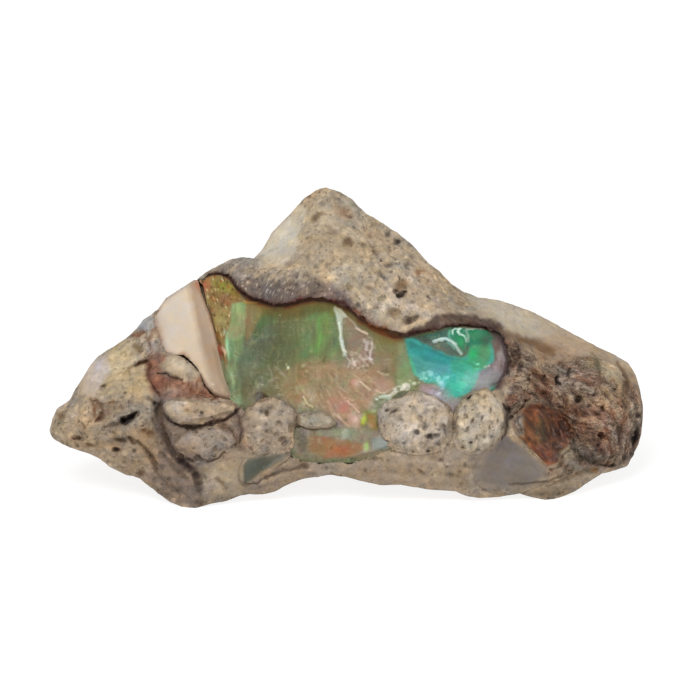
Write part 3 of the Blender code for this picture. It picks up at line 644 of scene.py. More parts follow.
    (422, 473, 4.0, 1.3, 35, 0.12, (110, 94, 78), 0.75), (340, 462, 2.0, 1.4, 0, 0.08, (122, 106, 90), 0.6),
    (442, 461, 2.4, 1.8, 0, 0.12, (112, 96, 80), 0.7), (448, 468, 2.0, 1.6, 0, 0.10, (118, 102, 84), 0.7),
    (461, 472, 2.0, 1.6, 0, 0.10, (122, 104, 82), 0.6), (375, 459, 2.4, 1.2, 0, 0.08, (122, 108, 94), 0.6),
    # right end
    (528, 378, 2.4, 5.0, 0, 0.30, (84, 66, 52), 0.8), (520, 367, 1.6, 4.0, 10, 0.26, (66, 52, 46), 0.85),
    (560, 381, 1.8, 5.0, 5, 0.34, (40, 32, 28), 0.9), (571, 372, 2.0, 4.4, 10, 0.28, (58, 46, 38), 0.85),
    (546, 378, 2.0, 2.4, 0, 0.26, (60, 50, 42), 0.85), (547, 393, 3.0, 2.4, 30, 0.24, (78, 52, 34), 0.85),
    (533, 394, 3.6, 2.0, 20, 0.28, (62, 50, 44), 0.8), (581, 400, 2.4, 2.0, 0, 0.26, (44, 34, 28), 0.9),
    (590, 407, 2.0, 1.8, 0, 0.22, (50, 38, 32), 0.85), (601, 437, 2.6, 4.0, 0, 0.30, (60, 34, 28), 0.9),
    (608, 424, 2.4, 1.6, 0, 0.20, (96, 56, 44), 0.8), (619, 429, 2.0, 3.0, 0, 0.22, (70, 58, 48), 0.8),
    (594, 395, 2.4, 2.0, 30, 0.24, (66, 52, 42), 0.8), (604, 408, 1.8, 3.6, 0, 0.22, (76, 56, 44), 0.8),
    (631, 416, 2.0, 2.8, 0, 0.20, (80, 62, 50), 0.8), (612, 389, 2.0, 2.0, 0, 0.22, (84, 68, 52), 0.8),
    (627, 384, 2.4, 3.4, -20, 0.26, (84, 62, 46), 0.8), (597, 363, 2.4, 4.0, 10, 0.22, (96, 90, 68), 0.75),
    (580, 458, 4.0, 3.0, 20, 0.28, (74, 66, 56), 0.8), (574, 450, 2.0, 3.0, 0, 0.22, (78, 68, 58), 0.75),
    (563, 383, 2.0, 1.8, 0, 0.22, (70, 58, 48), 0.8), (577, 385, 1.8, 2.8, 20, 0.24, (76, 60, 48), 0.8),
    (551, 403, 3.0, 1.8, 30, 0.24, (74, 46, 34), 0.85), (562, 407, 2.6, 1.8, 20, 0.22, (84, 60, 48), 0.8),
    (507, 346, 1.4, 5.0, -10, 0.20, (72, 54, 52), 0.8), (514, 352, 1.6, 3.4, -30, 0.20, (70, 56, 48), 0.8),
    (636, 437, 2.6, 7.0, 15, 0.40, (22, 16, 14), 1.0), (611, 466, 6.0, 1.6, -5, 0.28, (44, 36, 30), 0.9),
    (631, 455, 3.0, 3.0, 0, 0.24, (58, 48, 42), 0.8), (639, 416, 1.4, 3.0, 0, 0.20, (52, 40, 34), 0.8),
    (508, 410, 2.6, 4.0, 0, 0.30, (84, 70, 60), 0.8), (511, 418, 2.4, 2.4, 0, 0.26, (76, 62, 52), 0.8),
    (571, 468, 2.0, 1.6, 0, 0.12, (120, 92, 72), 0.7), (551, 470, 2.0, 1.6, 0, 0.12, (126, 98, 78), 0.7),
    (561, 464, 2.0, 1.4, 0, 0.12, (110, 74, 58), 0.7), (595, 470, 3.0, 2.0, -20, 0.14, (118, 84, 48), 0.75),
)

# cracks, creases and hollows: points, width in drawing units, depth in mm, colour (mostly dark, painted shade in the
# crack), strength of the colour
CREVICES = (
    (((397, 297), (401, 294.5), (406, 292)), 3.0, 0.40, (28, 20, 18), 1.0),
    (((134, 365.5), (139, 363), (145, 361)), 3.6, 0.42, (84, 60, 40), 0.95),
    (((133, 365), (128, 369), (130, 374)), 2.0, 0.16, (126, 102, 68), 0.7),
    (((146, 361), (149, 368), (148, 376), (151, 384), (155, 392), (160, 397)), 4.5, 0.30, (102, 66, 52), 0.9),
    (((158, 374), (166, 373), (174, 378), (184, 380)), 2.6, 0.24, (74, 50, 40), 0.95),
    (((155, 320), (158, 330), (161, 342), (158, 352), (150, 359)), 2.4, 0.12, (134, 108, 92), 0.6),
    (((152, 334), (148, 342), (152, 350), (147, 357)), 2.0, 0.14, (132, 100, 82), 0.7),
    (((104, 410), (103, 416), (98, 421)), 4.0, 0.30, (96, 66, 48), 0.9),
    (((96, 400), (101, 404), (104, 410)), 3.0, 0.20, (118, 86, 62), 0.8),
    (((92, 399), (96, 408), (97, 418)), 2.4, 0.16, (130, 92, 64), 0.7),
    (((136, 441), (143, 447), (149, 455), (154, 463), (158, 472)), 2.8, 0.20, (98, 76, 58), 0.85),
    (((104, 428), (112, 425), (121, 424)), 2.4, 0.18, (92, 76, 62), 0.75),
    (((160, 404), (163, 414), (170, 421), (180, 426), (192, 428), (203, 426)), 3.4, 0.36, (84, 66, 56), 0.95),
    (((203, 426), (214, 422), (224, 421), (233, 415), (240, 409)), 3.2, 0.36, (88, 68, 58), 0.95),
    (((161, 402), (160, 415), (162, 430), (167, 444), (173, 456)), 7.0, 0.36, (104, 86, 74), 0.8),
    (((222, 424), (229, 428), (234, 436), (236, 446)), 3.0, 0.26, (102, 80, 68), 0.8),
    (((236, 410), (240, 418), (241, 430), (240, 442)), 5.0, 0.26, (106, 84, 72), 0.85),
    (((172, 446), (177, 455), (184, 460), (192, 461)), 3.0, 0.26, (98, 82, 72), 0.8),
    (((198, 456), (206, 462), (217, 459), (224, 452)), 2.4, 0.18, (122, 98, 74), 0.7),
    (((184, 463), (192, 470), (197, 480), (200, 492)), 5.0, 0.26, (92, 76, 66), 0.8),
    (((214, 478), (220, 484), (226, 490)), 2.4, 0.16, (116, 98, 80), 0.7),
    (((160, 452), (168, 462), (178, 472), (188, 480)), 3.0, 0.18, (110, 94, 80), 0.7),
    (((152, 466), (160, 476), (170, 486), (180, 492)), 2.4, 0.14, (112, 96, 82), 0.6),
    (((244, 484), (256, 483), (266, 478), (280, 471), (298, 466)), 2.4, 0.16, (114, 98, 84), 0.7),
    (((200, 392), (210, 396), (218, 397), (212, 400)), 2.6, 0.16, (130, 84, 62), 0.8),
    (((497, 328), (510, 336), (522, 342), (536, 344), (549, 351)), 6.0, 0.32, (118, 96, 76), 0.85),
    (((520, 341), (535, 344), (548, 350), (553, 354)), 7.0, 0.22, (120, 92, 66), 0.8),
    (((500, 335), (504, 342), (506, 352), (508, 362), (507, 374)), 5.0, 0.30, (70, 54, 50), 0.95),
    (((514, 342), (518, 350), (517, 360), (513, 366)), 3.0, 0.24, (84, 66, 58), 0.85),
    (((503, 404), (506, 414), (506, 426), (502, 438)), 4.0, 0.34, (86, 74, 64), 0.9),
    (((528, 400), (520, 408), (514, 414)), 4.0, 0.26, (88, 66, 52), 0.8),
    (((572, 432), (574, 444), (580, 456), (590, 462), (604, 465)), 4.0, 0.24, (82, 72, 62), 0.8),
    (((560, 452), (563, 462), (570, 470)), 2.4, 0.12, (120, 92, 74), 0.6),
    (((510, 484), (526, 484), (545, 482), (560, 477), (572, 471)), 1.8, 0.14, (118, 98, 76), 0.8),
    (((545, 486), (560, 482), (575, 474), (590, 470)), 2.4, 0.12, (116, 94, 70), 0.6),
    (((590, 352), (596, 358), (599, 366), (598, 374)), 3.0, 0.20, (120, 106, 80), 0.7),
    (((617, 362), (624, 370), (628, 380), (627, 392)), 4.0, 0.26, (110, 84, 64), 0.8),
    (((300, 430.5), (311, 431), (322, 429.5)), 1.6, 0.16, (96, 84, 68), 0.8),
)

# rounded lumps and hollows: u, v, half width, half height, turn in degrees, height in mm (below 0 sinks)
LUMPS_SEEN = (
    (112, 362, 22, 10, -30, 0.45), (126, 382, 22, 12, 20, 0.40), (95, 378, 10, 18, 15, 0.25), (146, 346, 12, 14, 0, 0.40),
    (140, 352, 6, 6, 0, 0.30), (82, 408, 20, 10, -10, 0.40), (62, 425, 10, 12, 0, 0.30), (120, 398, 22, 8, 5, 0.30),
    (112, 434, 16, 7, 10, 0.25), (140, 420, 14, 8, -20, 0.30), (128, 460, 22, 9, 18, 0.45), (98, 448, 16, 6, 22, 0.22),
    (150, 442, 10, 12, -30, 0.25), (152, 470, 10, 14, -35, 0.28), (88, 428, 14, 6, 0, 0.22), (146, 324, 8, 6, 0, 0.25),
    (157, 366, 8, 7, 0, -0.25), (160, 388, 9, 8, 0, -0.30), (158, 415, 6, 20, 10, -0.45), (165, 440, 8, 18, -25, -0.30),
    (180, 366, 17, 10, 15, 0.50), (212, 453, 14, 7, 5, 0.30), (205, 470, 10, 5, 0, 0.20), (224, 466, 9, 10, 0, 0.20),
    (232, 484, 14, 8, 10, 0.28), (212, 492, 14, 8, -10, 0.20), (180, 484, 12, 10, 20, 0.30), (190, 500, 16, 6, 0, 0.25),
    (160, 490, 10, 8, 30, 0.20), (283, 464, 22, 5, -22, 0.35), (262, 482, 16, 5, -18, 0.20), (226, 392, 8, 6, 0, 0.15),
    (325, 275, 24, 14, 0, 0.20), (270, 276, 26, 10, 8, 0.28), (385, 305, 26, 12, 25, 0.25), (425, 300, 20, 14, 10, 0.25),
    (350, 250, 26, 20, 30, 0.15), (310, 215, 16, 12, -30, 0.12), (465, 312, 20, 8, 15, 0.18), (232, 264, 14, 5, -10, 0.15),
    (512, 340, 14, 2.6, 48, 0.40), (507, 341, 2.4, 12, -20, 0.30), (514, 370, 7, 14, -8, 0.45), (532, 352, 12, 8, 30, 0.20),
    (545, 372, 20, 8, 40, 0.25), (585, 385, 24, 10, 30, 0.25), (612, 376, 12, 12, 25, 0.40), (605, 420, 22, 12, 10, 0.20),
    (625, 400, 14, 16, 0, 0.25), (600, 452, 24, 8, 5, 0.25), (560, 402, 16, 7, 30, 0.22), (530, 388, 12, 8, 20, 0.20),
    (566, 425, 10, 12, 0, -0.35), (548, 490, 26, 6, -8, 0.25), (560, 455, 12, 10, 0, 0.15), (520, 360, 8, 8, 0, -0.15),
    (350, 468, 40, 6, 2, 0.12), (430, 466, 40, 8, 6, 0.15), (490, 488, 30, 6, 0, 0.12), (510, 396, 10, 10, 0, 0.15),
)

CRUST = (
    (214, 270), (230, 262), (244, 262), (262, 268), (288, 270), (310, 274), (328, 281), (342, 292), (358, 304),
    (370, 315), (366, 324), (356, 315), (344, 307), (331, 303), (315, 300), (301, 302), (284, 306), (269, 305),
    (252, 300), (238, 291), (228, 277), (214, 275),
)
DARK_CRUST = (
    (236, 278), (250, 279), (262, 283), (282, 284), (302, 283), (320, 282), (336, 292), (350, 304), (362, 316),
    (356, 316), (344, 308), (331, 304), (315, 301), (301, 303), (284, 307), (269, 306), (252, 301), (240, 292),
)
FIBROUS = (
    (506, 340), (520, 350), (538, 360), (556, 364), (576, 358), (592, 358), (600, 372), (616, 384), (632, 384),
    (644, 404), (642, 440), (630, 462), (602, 468), (580, 466), (570, 456), (574, 440), (566, 424), (552, 408),
    (530, 400), (516, 412), (506, 420), (506, 396), (512, 384), (506, 372),
)
FACET = ((256, 257), (268, 238), (284, 219), (300, 203), (306, 208), (302, 224), (299, 244), (294, 262), (276, 264))
BACK_RIDGE = (
    (462, 294), (478, 297), (500, 299), (540, 315), (580, 336), (614, 353), (630, 362), (636, 374), (624, 368),
    (604, 356), (592, 356), (570, 356), (552, 360), (540, 350), (522, 342), (508, 332), (497, 326), (480, 314),
)
LEFT_YELLOW = (
    (100, 360), (118, 347), (132, 340), (144, 362), (150, 378), (154, 396), (140, 398), (120, 396), (104, 392),
    (98, 376),
)


def jagged(u, v, by, seed=90):
    """Drawing places moved a little, so that an outline drawn through a few points breaks like stone."""
    at = np.stack([u, v, np.zeros_like(u)], -1)
    return (
        u + by * (lattice(at / 5.5, seed) + 0.6 * lattice(at / 2.3, seed + 1)),
        v + by * (lattice(at / 5.5, seed + 2) + 0.6 * lattice(at / 2.3, seed + 3)),
    )


CALM = (  # smooth places: outline, how smooth, softness of its edge
    (FACET, 0.80, 4), (BACK_RIDGE, 0.85, 5), (LEFT_YELLOW, 0.20, 4),
    (((200, 458), (500, 452), (560, 470), (560, 500), (480, 500), (330, 480), (250, 494), (216, 500)), 0.40, 5),
    (((80, 396), (84, 366), (100, 354), (110, 362), (104, 384), (92, 400)), 0.7, 4),
    (((214, 446), (246, 450), (246, 492), (222, 500), (214, 470)), 0.7, 4),
    (((300, 205), (350, 205), (360, 240), (330, 262), (300, 262)), 0.25, 8),
    (((475, 458), (500, 436), (545, 466), (552, 484), (500, 492), (475, 486)), 0.75, 4),
    (((160, 366), (170, 355), (184, 353), (196, 366), (200, 376), (190, 380), (176, 378)), 0.5, 3),
)


def front_masks(u, v, points):
    """What kind of surface each place of the front is."""
    calm = np.zeros(len(u))
    for outline, amount, soft in CALM:
        calm = np.maximum(calm, amount * smooth(inside(u, v, outline), -soft, soft))
    ju, jv = jagged(u, v, 2.0, 95)
    grit, _, label = cells(points, 0.27, 84)
    return {
        "calm": calm,
        "fibrous": smooth(inside(ju, jv, FIBROUS), -4, 4),
        "crust": smooth(inside(ju, jv, CRUST), -3, 3),
        "strands": strands(points),
        "grit": grit,
        "label": label,
    }


def rock_push(points, m):
    """Unevenness of the rock's face in mm along its normal."""
    push = grain_height(points, m["calm"]) * (1 - 0.5 * m["fibrous"])
    push += m["fibrous"] * (0.13 * m["strands"] + 0.12 * cloudy(points, 1.6, 2, 83))
    return push + m["crust"] * (0.16 * (0.5 - np.minimum(m["grit"], 0.9)) + 0.06 * cloudy(points, 0.5, 2, 85))


def pocks(u, v):
    """Depth in mm of the drawn pits and cracks at each place."""
    depth = np.zeros(len(u))
    for cu, cv, ru, rv, turn, deep, _, _ in HOLES:
        near = (np.abs(u - cu) < 3 * (ru + rv)) & (np.abs(v - cv) < 3 * (ru + rv))
        depth[near] = np.maximum(
            depth[near], 1.35 * deep * blob(u[near], v[near], cu, cv, 1.1 * ru, 1.1 * rv, turn, 1.6)
        )
    for points, wide, deep, _, _ in CREVICES:
        apart, share = to_line(u, v, points)
        width = wide * (0.45 + 0.55 * np.sqrt(np.clip(4 * share * (1 - share), 0, 1)))
        depth = np.maximum(depth, 1.2 * deep * np.exp(-((apart / (0.62 * width)) ** 2)))
    return depth


def paint_pocks_and_shade(c):
    # the colours of the drawn cracks and pits: mostly dark, painted shade in them
    for points, wide, _, colour, strength in CREVICES:
        apart, share = to_line(c.u, c.v, points)
        width = wide * (0.45 + 0.55 * np.sqrt(np.clip(4 * share * (1 - share), 0, 1)))
        c.lay(np.exp(-((apart / (0.66 * width)) ** 2)), colour, strength)
    for cu, cv, ru, rv, turn, _, colour, strength in HOLES:
        c.blob(cu, cv, 1.12 * ru, 1.12 * rv, colour, turn, strength, 1.5)


def swells(u, v):
    """Height in mm, towards the eye, of the drawn lumps."""
    height = np.zeros(len(u))
    for cu, cv, ru, rv, turn, high in LUMPS_SEEN:
        height += high * blob(u, v, cu, cv, ru, rv, turn, 1.25)
    return height


def spread(points, stretch, turn):
    """Points of the stone with one direction in the front face drawn out, for grain that runs along it."""
    a = math.radians(turn)
    along = math.cos(a) * RIGHT - math.sin(a) * UP
    amount = points @ along
    return points - np.outer(amount * (1 - 1 / stretch), along)


def strands(points):
    """Matted splinters whose run changes from place to place: about 1 on a splinter, about -1 between two."""
    lean = 2.0 * cloudy(points, 2.4, 2, 80)
    total = np.zeros(len(points))
    weight = np.zeros(len(points))
    for k, turn in enumerate((8.0, 36.0, 60.0, 92.0)):
        share = np.exp(-(((lean - (k - 1.5) * 0.9) / 0.55) ** 2)) + 0.02
        fine = lattice(spread(points, 5.5, turn) / 0.26, 181 + k)
        broad = lattice(spread(points, 4.0, turn + 8) / 0.52, 191 + k)
        total += share * (0.95 - 2.1 * np.abs(broad) + 0.75 * (1 - 2.2 * np.abs(fine)))
        weight += share
    return total / weight


# ---------------------------------------------------------------- grain of the tuff, shared by the rock and its clasts
def grain_height(points, calm):
    """Unevenness of broken tuff in mm along the surface normal. calm is 1 where the face is smooth."""
    broad = cloudy(points, 2.6, 3, 61)
    middle = cloudy(points, 0.95, 3, 62)
    fine = cloudy(points, 0.34, 2, 63)
    near, second, label = cells(points + 0.25 * fine[:, None], 0.62, 64)
    knobs = (0.5 - np.minimum(near, 0.8)) * (label > 0.35)
    near2, _, label2 = cells(points, 0.85, 65)
    pits = (1 - smooth(near2, 0.10, 0.30)) * (label2 < 0.30)
    near3, _, label3 = cells(points, 0.42, 66)
    pricks = (1 - smooth(near3, 0.12, 0.34)) * (label3 < 0.22)
    rough = 1 - 0.78 * calm
    return 0.16 * broad * (0.4 + 0.6 * rough) + rough * (
        0.085 * middle + 0.035 * fine + 0.075 * knobs - 0.13 * pits - 0.07 * pricks
    )


def grain_tone(points, calm):
    """Brightness factor and warm-to-grey tint of the grains at each point, with painted shade darkening the small pits
    that grain_height sinks.
    """
    blotch = cloudy(points, 1.5, 3, 71)
    speck = cloudy(points, 0.42, 3, 72)
    near, second, label = cells(points + 0.12 * speck[:, None], 0.62, 64)
    shard = np.where(label > 0.80, 0.14, np.where(label < 0.16, -0.13, 0.0)) * (1 - smooth(near, 0.32, 0.52))
    near2, _, label2 = cells(points, 0.85, 65)
    pits = (1 - smooth(near2, 0.08, 0.27)) * (label2 < 0.30)
    near3, _, label3 = cells(points, 0.42, 66)
    pricks = (1 - smooth(near3, 0.10, 0.32)) * (label3 < 0.22)
    rough = 1 - 0.80 * calm
    tone = 1 + rough * (0.075 * blotch + 0.085 * speck + shard - 0.34 * pits - 0.20 * pricks)
    tint = rough * (cloudy(points, 2.1, 3, 73) + 0.5 * speck)
    return tone, tint


def lay_grain_and_pit_shade(c, points, calm, grey=0.035):
    """Lays the grain over a canvas, with painted shade in its small pits."""
    tone, tint = grain_tone(points, calm)
    c.rgb *= tone[:, None] * (1 + grey * tint[:, None] * np.array((1.0, 0.1, -1.1)))


def stone_lumps(points):
    """The model's own unevenness, in mm."""
    def noise(at, seed):
        cell = np.floor(at).astype(np.int64)
        part = at - cell
        part = part * part * part * (part * (part * 6 - 15) + 10)
        total = np.zeros(len(at))
        for dx in (0, 1):
            for dy in (0, 1):
                for dz in (0, 1):
                    mix = (
                        (cell[:, 0] + dx) * 374761393 + (cell[:, 1] + dy) * 668265263
                        + (cell[:, 2] + dz) * 1442695041 + seed * 97531
                    ) & 0x7FFFFFFF
                    mix = ((mix ^ (mix >> 13)) * 1274126177) & 0x7FFFFFFF
                    mix = ((mix ^ (mix >> 16)) * 974634777) & 0x7FFFFFFF
                    total += (
                        ((mix & 0xFFFF) / 32767.5 - 1)
                        * (part[:, 0] if dx else 1 - part[:, 0])
                        * (part[:, 1] if dy else 1 - part[:, 1])
                        * (part[:, 2] if dz else 1 - part[:, 2])
                    )
        return total

    return 0.45 * (noise(points / 4.2, 3) + 0.5 * noise(points / 1.9, 8))


def recess(u, v):
    """How far in mm the opal's face lies behind the drawn front: deep under the rim, flush along the bottom."""
    apart, _ = to_line(u, v, SEAM_TOP[2:])
    low = smooth(v, 425, 458)
    left = 1 - smooth(u, 212, 250)
    return (0.30 + 0.10 * np.exp(-((apart / 26) ** 2))) * (1 - 0.85 * low) * (1 - 0.45 * left)


def seam_swell(u, v):
    """1 in the middle of the opal seam and 0 on its outline, as in the model's back of the seam."""
    upper, lower = edge(SEAM_TOP), edge(SEAM_BOTTOM)
    high, low = upper(u), lower(u)
    rise = np.clip((low - v) / np.maximum(low - high, 1e-6), 0, 1)
    share = np.clip((u - 203) / 306, 0, 1)
    return np.sqrt(np.clip(4 * rise * (1 - rise), 0, 1)) * np.clip(4 * share * (1 - share) * 1.6, 0, 1)


INSETS = [
    (SEAM, 0.0, 2.6), (POTCH, 2.0, 1.25), (SEEN["lower_opal"], 3.0, 1.3), (SEEN["lilac_opal"], 3.0, 1.3),
    (SEEN["iron_opal"], 3.0, 1.6), (CONTACT, 0.0, 1.6),
] + [(SEEN[name], 3.0, 1.3) for name in CLASTS]


def bare_front(u, v):
    """Depth of the broken face, had nothing been set into it."""
    ju, jv = jagged(u, v, 1.1)
    lip = np.exp(-((to_line(ju, jv, SEAM_TOP[2:])[0] / 4.0) ** 2))
    return front(u, v) - swells(u, v) + pocks(ju, jv) - 0.06 * lip


def host_front(u, v):
    """Depth of the rock's near side, with the places of the other pieces sunk."""
    ju, jv = jagged(u, v, 1.1)
    depth = bare_front(u, v)
    for outline, shrink, deep in INSETS:
        apart = (inside(ju, jv, outline) if outline is SEAM else inside(u, v, outline)) - shrink
        if outline is SEAM:
            # along the bottom the rock meets the opal's face without a step
            apart = apart + 1.5 * smooth(v, 440, 456)
        depth = np.maximum(depth, front(u, v) + deep * smooth(apart, -0.9, 0.9) - 3.0 * (apart < -0.9))
    return depth


def blended_planes(points):
    """Broken facets in mm for the hidden sides."""
    a = np.abs(lattice(points / 3.4 + 5.1, 51))
    b = np.abs(lattice(points @ SPIN.T / 2.1, 52))
    return 0.55 * (0.45 - a) + 0.22 * (0.4 - b)


def build_host():
    upper_edge, lower = edge(TOP), edge(BOTTOM)

    def upper(u):
        # the cream opal makes the outline here, so the rock stays a little below it
        return upper_edge(u) + 4.5 * smooth(u, 155, 160) * (1 - smooth(u, 194, 200))

    rows_near, rows_far, columns = 178, 66, 404
    u, v, near, faces = section_grid(upper, lower, TOP[0], TOP[-1], columns, rows_near, rows_far, 0.86)
    depth = np.empty(len(u))
    depth[near] = host_front(u[near], v[near])
    depth[~near] = back(u[~near], v[~near])
    # the two sides meet on the outline
    rim_apart = np.minimum(to_line(u, v, TOP)[0], to_line(u, v, BOTTOM)[0]) * UNIT
    base_depth = front(u, v)
    hold = np.maximum(smooth(rim_apart, 0.0, 0.6), smooth(inside(u, v, POTCH), 0.0, 3.0))
    depth = np.where(near, base_depth + (depth - base_depth) * np.maximum(hold, 0.25 * (rim_apart > 0.02)), depth)
    points = place(u, v, depth)
    middle = points.mean(0)
    outward = points - middle
    outward /= np.linalg.norm(outward, axis=1)[:, None]
    lumps = stone_lumps(points) * np.clip(points[:, 2] / 0.8, 0, 1) * np.clip(rim_apart / 1.2, 0, 1)
    inset = np.zeros(len(u))
    for outline, shrink, _ in INSETS:
        inset = np.maximum(inset, smooth(inside(u, v, outline), -14, 2))
    points += outward * (lumps * np.where(near, 0.55 * (1 - inset), 1.0))[:, None]

    faces = facing_out(points, faces)
    normal = normals_of(points, faces)
    m = front_masks(u, v, points)
    m["calm"] = np.where(near, m["calm"], 0.15 + 0.3 * smooth(cloudy(points, 5.0, 2, 44), -0.2, 0.6))
    m["fibrous"] *= near
    m["crust"] *= near
    push = rock_push(points, m)
    behind = np.where(near, 0.0, smooth(depth - base_depth, 0.3, 2.5))
    push += behind * blended_planes(points) * np.clip(points[:, 2] / 1.5, 0, 1)
    walls = np.where(near & (depth > base_depth + 0.9), 0.3, 1.0)
    foot = np.clip(points[:, 2] / 0.5, 0.12, 1)
    keep = np.clip(rim_apart / 0.3, 0.55, 1)
    points += normal * (push * walls * foot * keep)[:, None]
    low = points[:, 2] < 0.02
    points[:, 2] = np.where(low, np.maximum(points[:, 2], 0) * 0.3, points[:, 2])

    extra = {"grit": 1 - m["calm"], "fibre": m["fibrous"], "gloss": np.zeros(len(u))}
    return points, faces, paint_host(u, v, points, near, depth - base_depth, m), extra


def paint_ground(c, points, m):
    """The rock's own colours over the whole front, without its grain and pits."""
    fibrous, crust, grit, grit_label = m["fibrous"], m["crust"], m["grit"], m["label"]
    c.rgb[:] = (168, 149, 126)
    # upper lump and ridge
    c.patch(((150, 300), (262, 250), (326, 186), (400, 233), (470, 292), (484, 324), (440, 322), (403, 336), (370, 322),
        (340, 302), (300, 300), (252, 298), (226, 272), (196, 282)), (180, 163, 138), 5)
    c.blob(420, 290, 50, 24, (170, 150, 126), 35, 0.7)
    c.blob(405, 300, 40, 22, (164, 147, 130), 20, 0.5)
    c.blob(378, 232, 40, 14, (172, 152, 128), 38, 0.6)
    c.blob(330, 200, 26, 14, (178, 160, 134), 0, 0.6)
    c.patch(FACET, (201, 192, 174), 4, 0.9)
    c.blob(296, 214, 14, 8, (188, 172, 148), -40, 0.6)
    c.blob(300, 262, 40, 12, (172, 158, 142), 5, 0.6)
    # ridge at the left of the lump
    c.patch(((150, 316), (180, 286), (212, 266), (242, 256), (262, 256), (262, 266), (236, 268), (214, 276), (190, 288)),
        (158, 146, 132), 3)
    # crust along the rim
    c.lay(crust, (146, 132, 118), 0.85)
    c.patch(DARK_CRUST, (110, 98, 92), 3, 0.9)
    c.blob(272, 292, 26, 7, (102, 92, 90), 3, 0.6)
    c.blob(335, 292, 16, 6, (98, 84, 82), 30, 0.6)
    flakes = crust * (grit < 0.40) * (grit_label > 0.52)
    c.lay(flakes * (1 - smooth(grit, 0.22, 0.42)), (196, 184, 168), 0.75)
    c.lay(crust * (grit_label < 0.22) * (1 - smooth(grit, 0.2, 0.42)), (78, 64, 58), 0.7)
    # back ridge at the right
    c.patch(BACK_RIDGE, (184, 169, 147), 5)
    c.blob(575, 344, 34, 9, (172, 148, 122), 27, 0.75)
    c.blob(602, 353, 14, 6, (150, 128, 102), 30, 0.6)
    c.blob(560, 350, 24, 8, (172, 144, 120), 15, 0.7)
    c.blob(548, 355, 12, 9, (140, 108, 82), 20, 0.6)
    c.blob(525, 352, 10, 6, (164, 146, 122), 30, 0.7)
    c.blob(472, 303, 14, 6, (150, 134, 112), 25, 0.35)
    # dark band over the teal lobe and down its right side
    c.stroke(((412, 334), (428, 328), (438, 320), (452, 318), (470, 321), (488, 324), (500, 330)), 9, (84, 68, 60), 2.5, 0.9, False)
    c.stroke(((498, 330), (504, 342), (506, 356), (504, 372), (498, 384)), 11, (84, 66, 62), 3, 0.9, False)
    c.stroke(((440, 328), (455, 325), (470, 328), (486, 331), (496, 334)), 3.4, (176, 164, 152), 1.2, 0.7)
    # splintery right end
    c.lay(fibrous, (128, 108, 92), 0.95)
    c.blob(560, 372, 26, 12, (134, 118, 102), 30, 0.7)
    c.blob(520, 370, 9, 15, (158, 138, 122), -5, 0.8)
    c.blob(513, 378, 9, 8, (160, 128, 106), 0, 0.7)
    c.blob(535, 385, 14, 10, (112, 86, 66), 30, 0.7)
    c.blob(548, 395, 12, 7, (112, 72, 50), 30, 0.75)
    c.blob(572, 408, 18, 9, (104, 74, 58), 20, 0.8)
    c.blob(562, 424, 12, 12, (72, 44, 30), 0, 0.9)
    c.blob(582, 425, 10, 14, (128, 88, 68), 10, 0.8)
    c.blob(600, 420, 16, 16, (130, 92, 76), 0, 0.75)
    c.blob(604, 442, 20, 12, (108, 78, 64), 5, 0.8)
    c.blob(612, 376, 17, 13, (176, 156, 128), 25, 0.85)
    c.blob(605, 392, 15, 9, (158, 134, 106), 25, 0.7)
    c.blob(590, 366, 10, 10, (150, 134, 108), 0, 0.7)
    c.blob(630, 388, 9, 13, (138, 112, 90), -20, 0.75)
    c.blob(628, 412, 12, 15, (138, 120, 104), 0, 0.7)
    c.blob(622, 440, 14, 12, (118, 98, 86), 0, 0.7)
    c.blob(600, 458, 28, 8, (104, 90, 78), 0, 0.8)
    c.blob(565, 455, 12, 16, (140, 124, 104), 0, 0.75)
    iron = smooth(cloudy(points, 1.4, 3, 86), 0.10, 0.7) * fibrous
    c.lay(iron, (128, 72, 50), 0.40)
    ground = c.rgb.copy()
    # light on the splinters and dark between them, where the face sinks: their own colour and painted shade in the gaps
    c.lay(fibrous * smooth(m["strands"], 0.35, 1.15), (196, 178, 156), 0.60)
    c.lay(fibrous * (1 - smooth(m["strands"], -0.75, 0.15)), (58, 40, 32), 0.72)
    c.rgb += 0.25 * (ground - c.rgb)
    # left end
    c.patch(LEFT_YELLOW, (178, 158, 124), 6, 0.85)
    c.blob(115, 372, 16, 12, (190, 168, 128), 0, 0.6)
    c.blob(142, 385, 9, 14, (188, 162, 118), 20, 0.6)
    c.blob(120, 352, 22, 6, (182, 164, 128), -28, 0.6)
    c.blob(104, 380, 12, 9, (172, 150, 114), 0, 0.5)
    c.patch(((84, 396), (86, 372), (95, 360), (108, 356), (108, 372), (102, 386), (96, 398)), (184, 170, 158), 4, 0.9)
    c.blob(98, 366, 7, 9, (192, 182, 176), 20, 0.6)
    c.patch(((136, 326), (143, 318), (152, 314), (156, 326), (150, 334), (142, 330)), (176, 174, 172), 2.5, 0.85)
    c.patch(((132, 346), (142, 336), (156, 328), (162, 340), (160, 352), (150, 360), (138, 360)), (166, 148, 126), 4, 0.7)
    c.blob(153, 343, 6, 8, (172, 154, 140), 0, 0.6)
    c.blob(120, 392, 28, 8, (160, 142, 112), 5, 0.5)
    c.blob(130, 405, 26, 8, (152, 134, 112), 5, 0.6)
    c.blob(85, 408, 14, 10, (164, 144, 118), -20, 0.6)
    c.blob(60, 425, 9, 14, (142, 128, 104), 0, 0.6)
    c.blob(80, 430, 20, 10, (150, 130, 104), 10, 0.6)
    c.blob(112, 424, 12, 6, (124, 110, 96), 0, 0.6)
    c.blob(100, 445, 22, 6, (146, 122, 92), 15, 0.6)
    c.blob(132, 462, 20, 9, (150, 132, 112), 20, 0.7)
    c.blob(150, 452, 9, 14, (146, 118, 88), -30, 0.6)
    c.blob(142, 432, 14, 8, (140, 112, 82), 0, 0.6)
    c.blob(130, 452, 16, 5, (142, 124, 104), 20, 0.5)
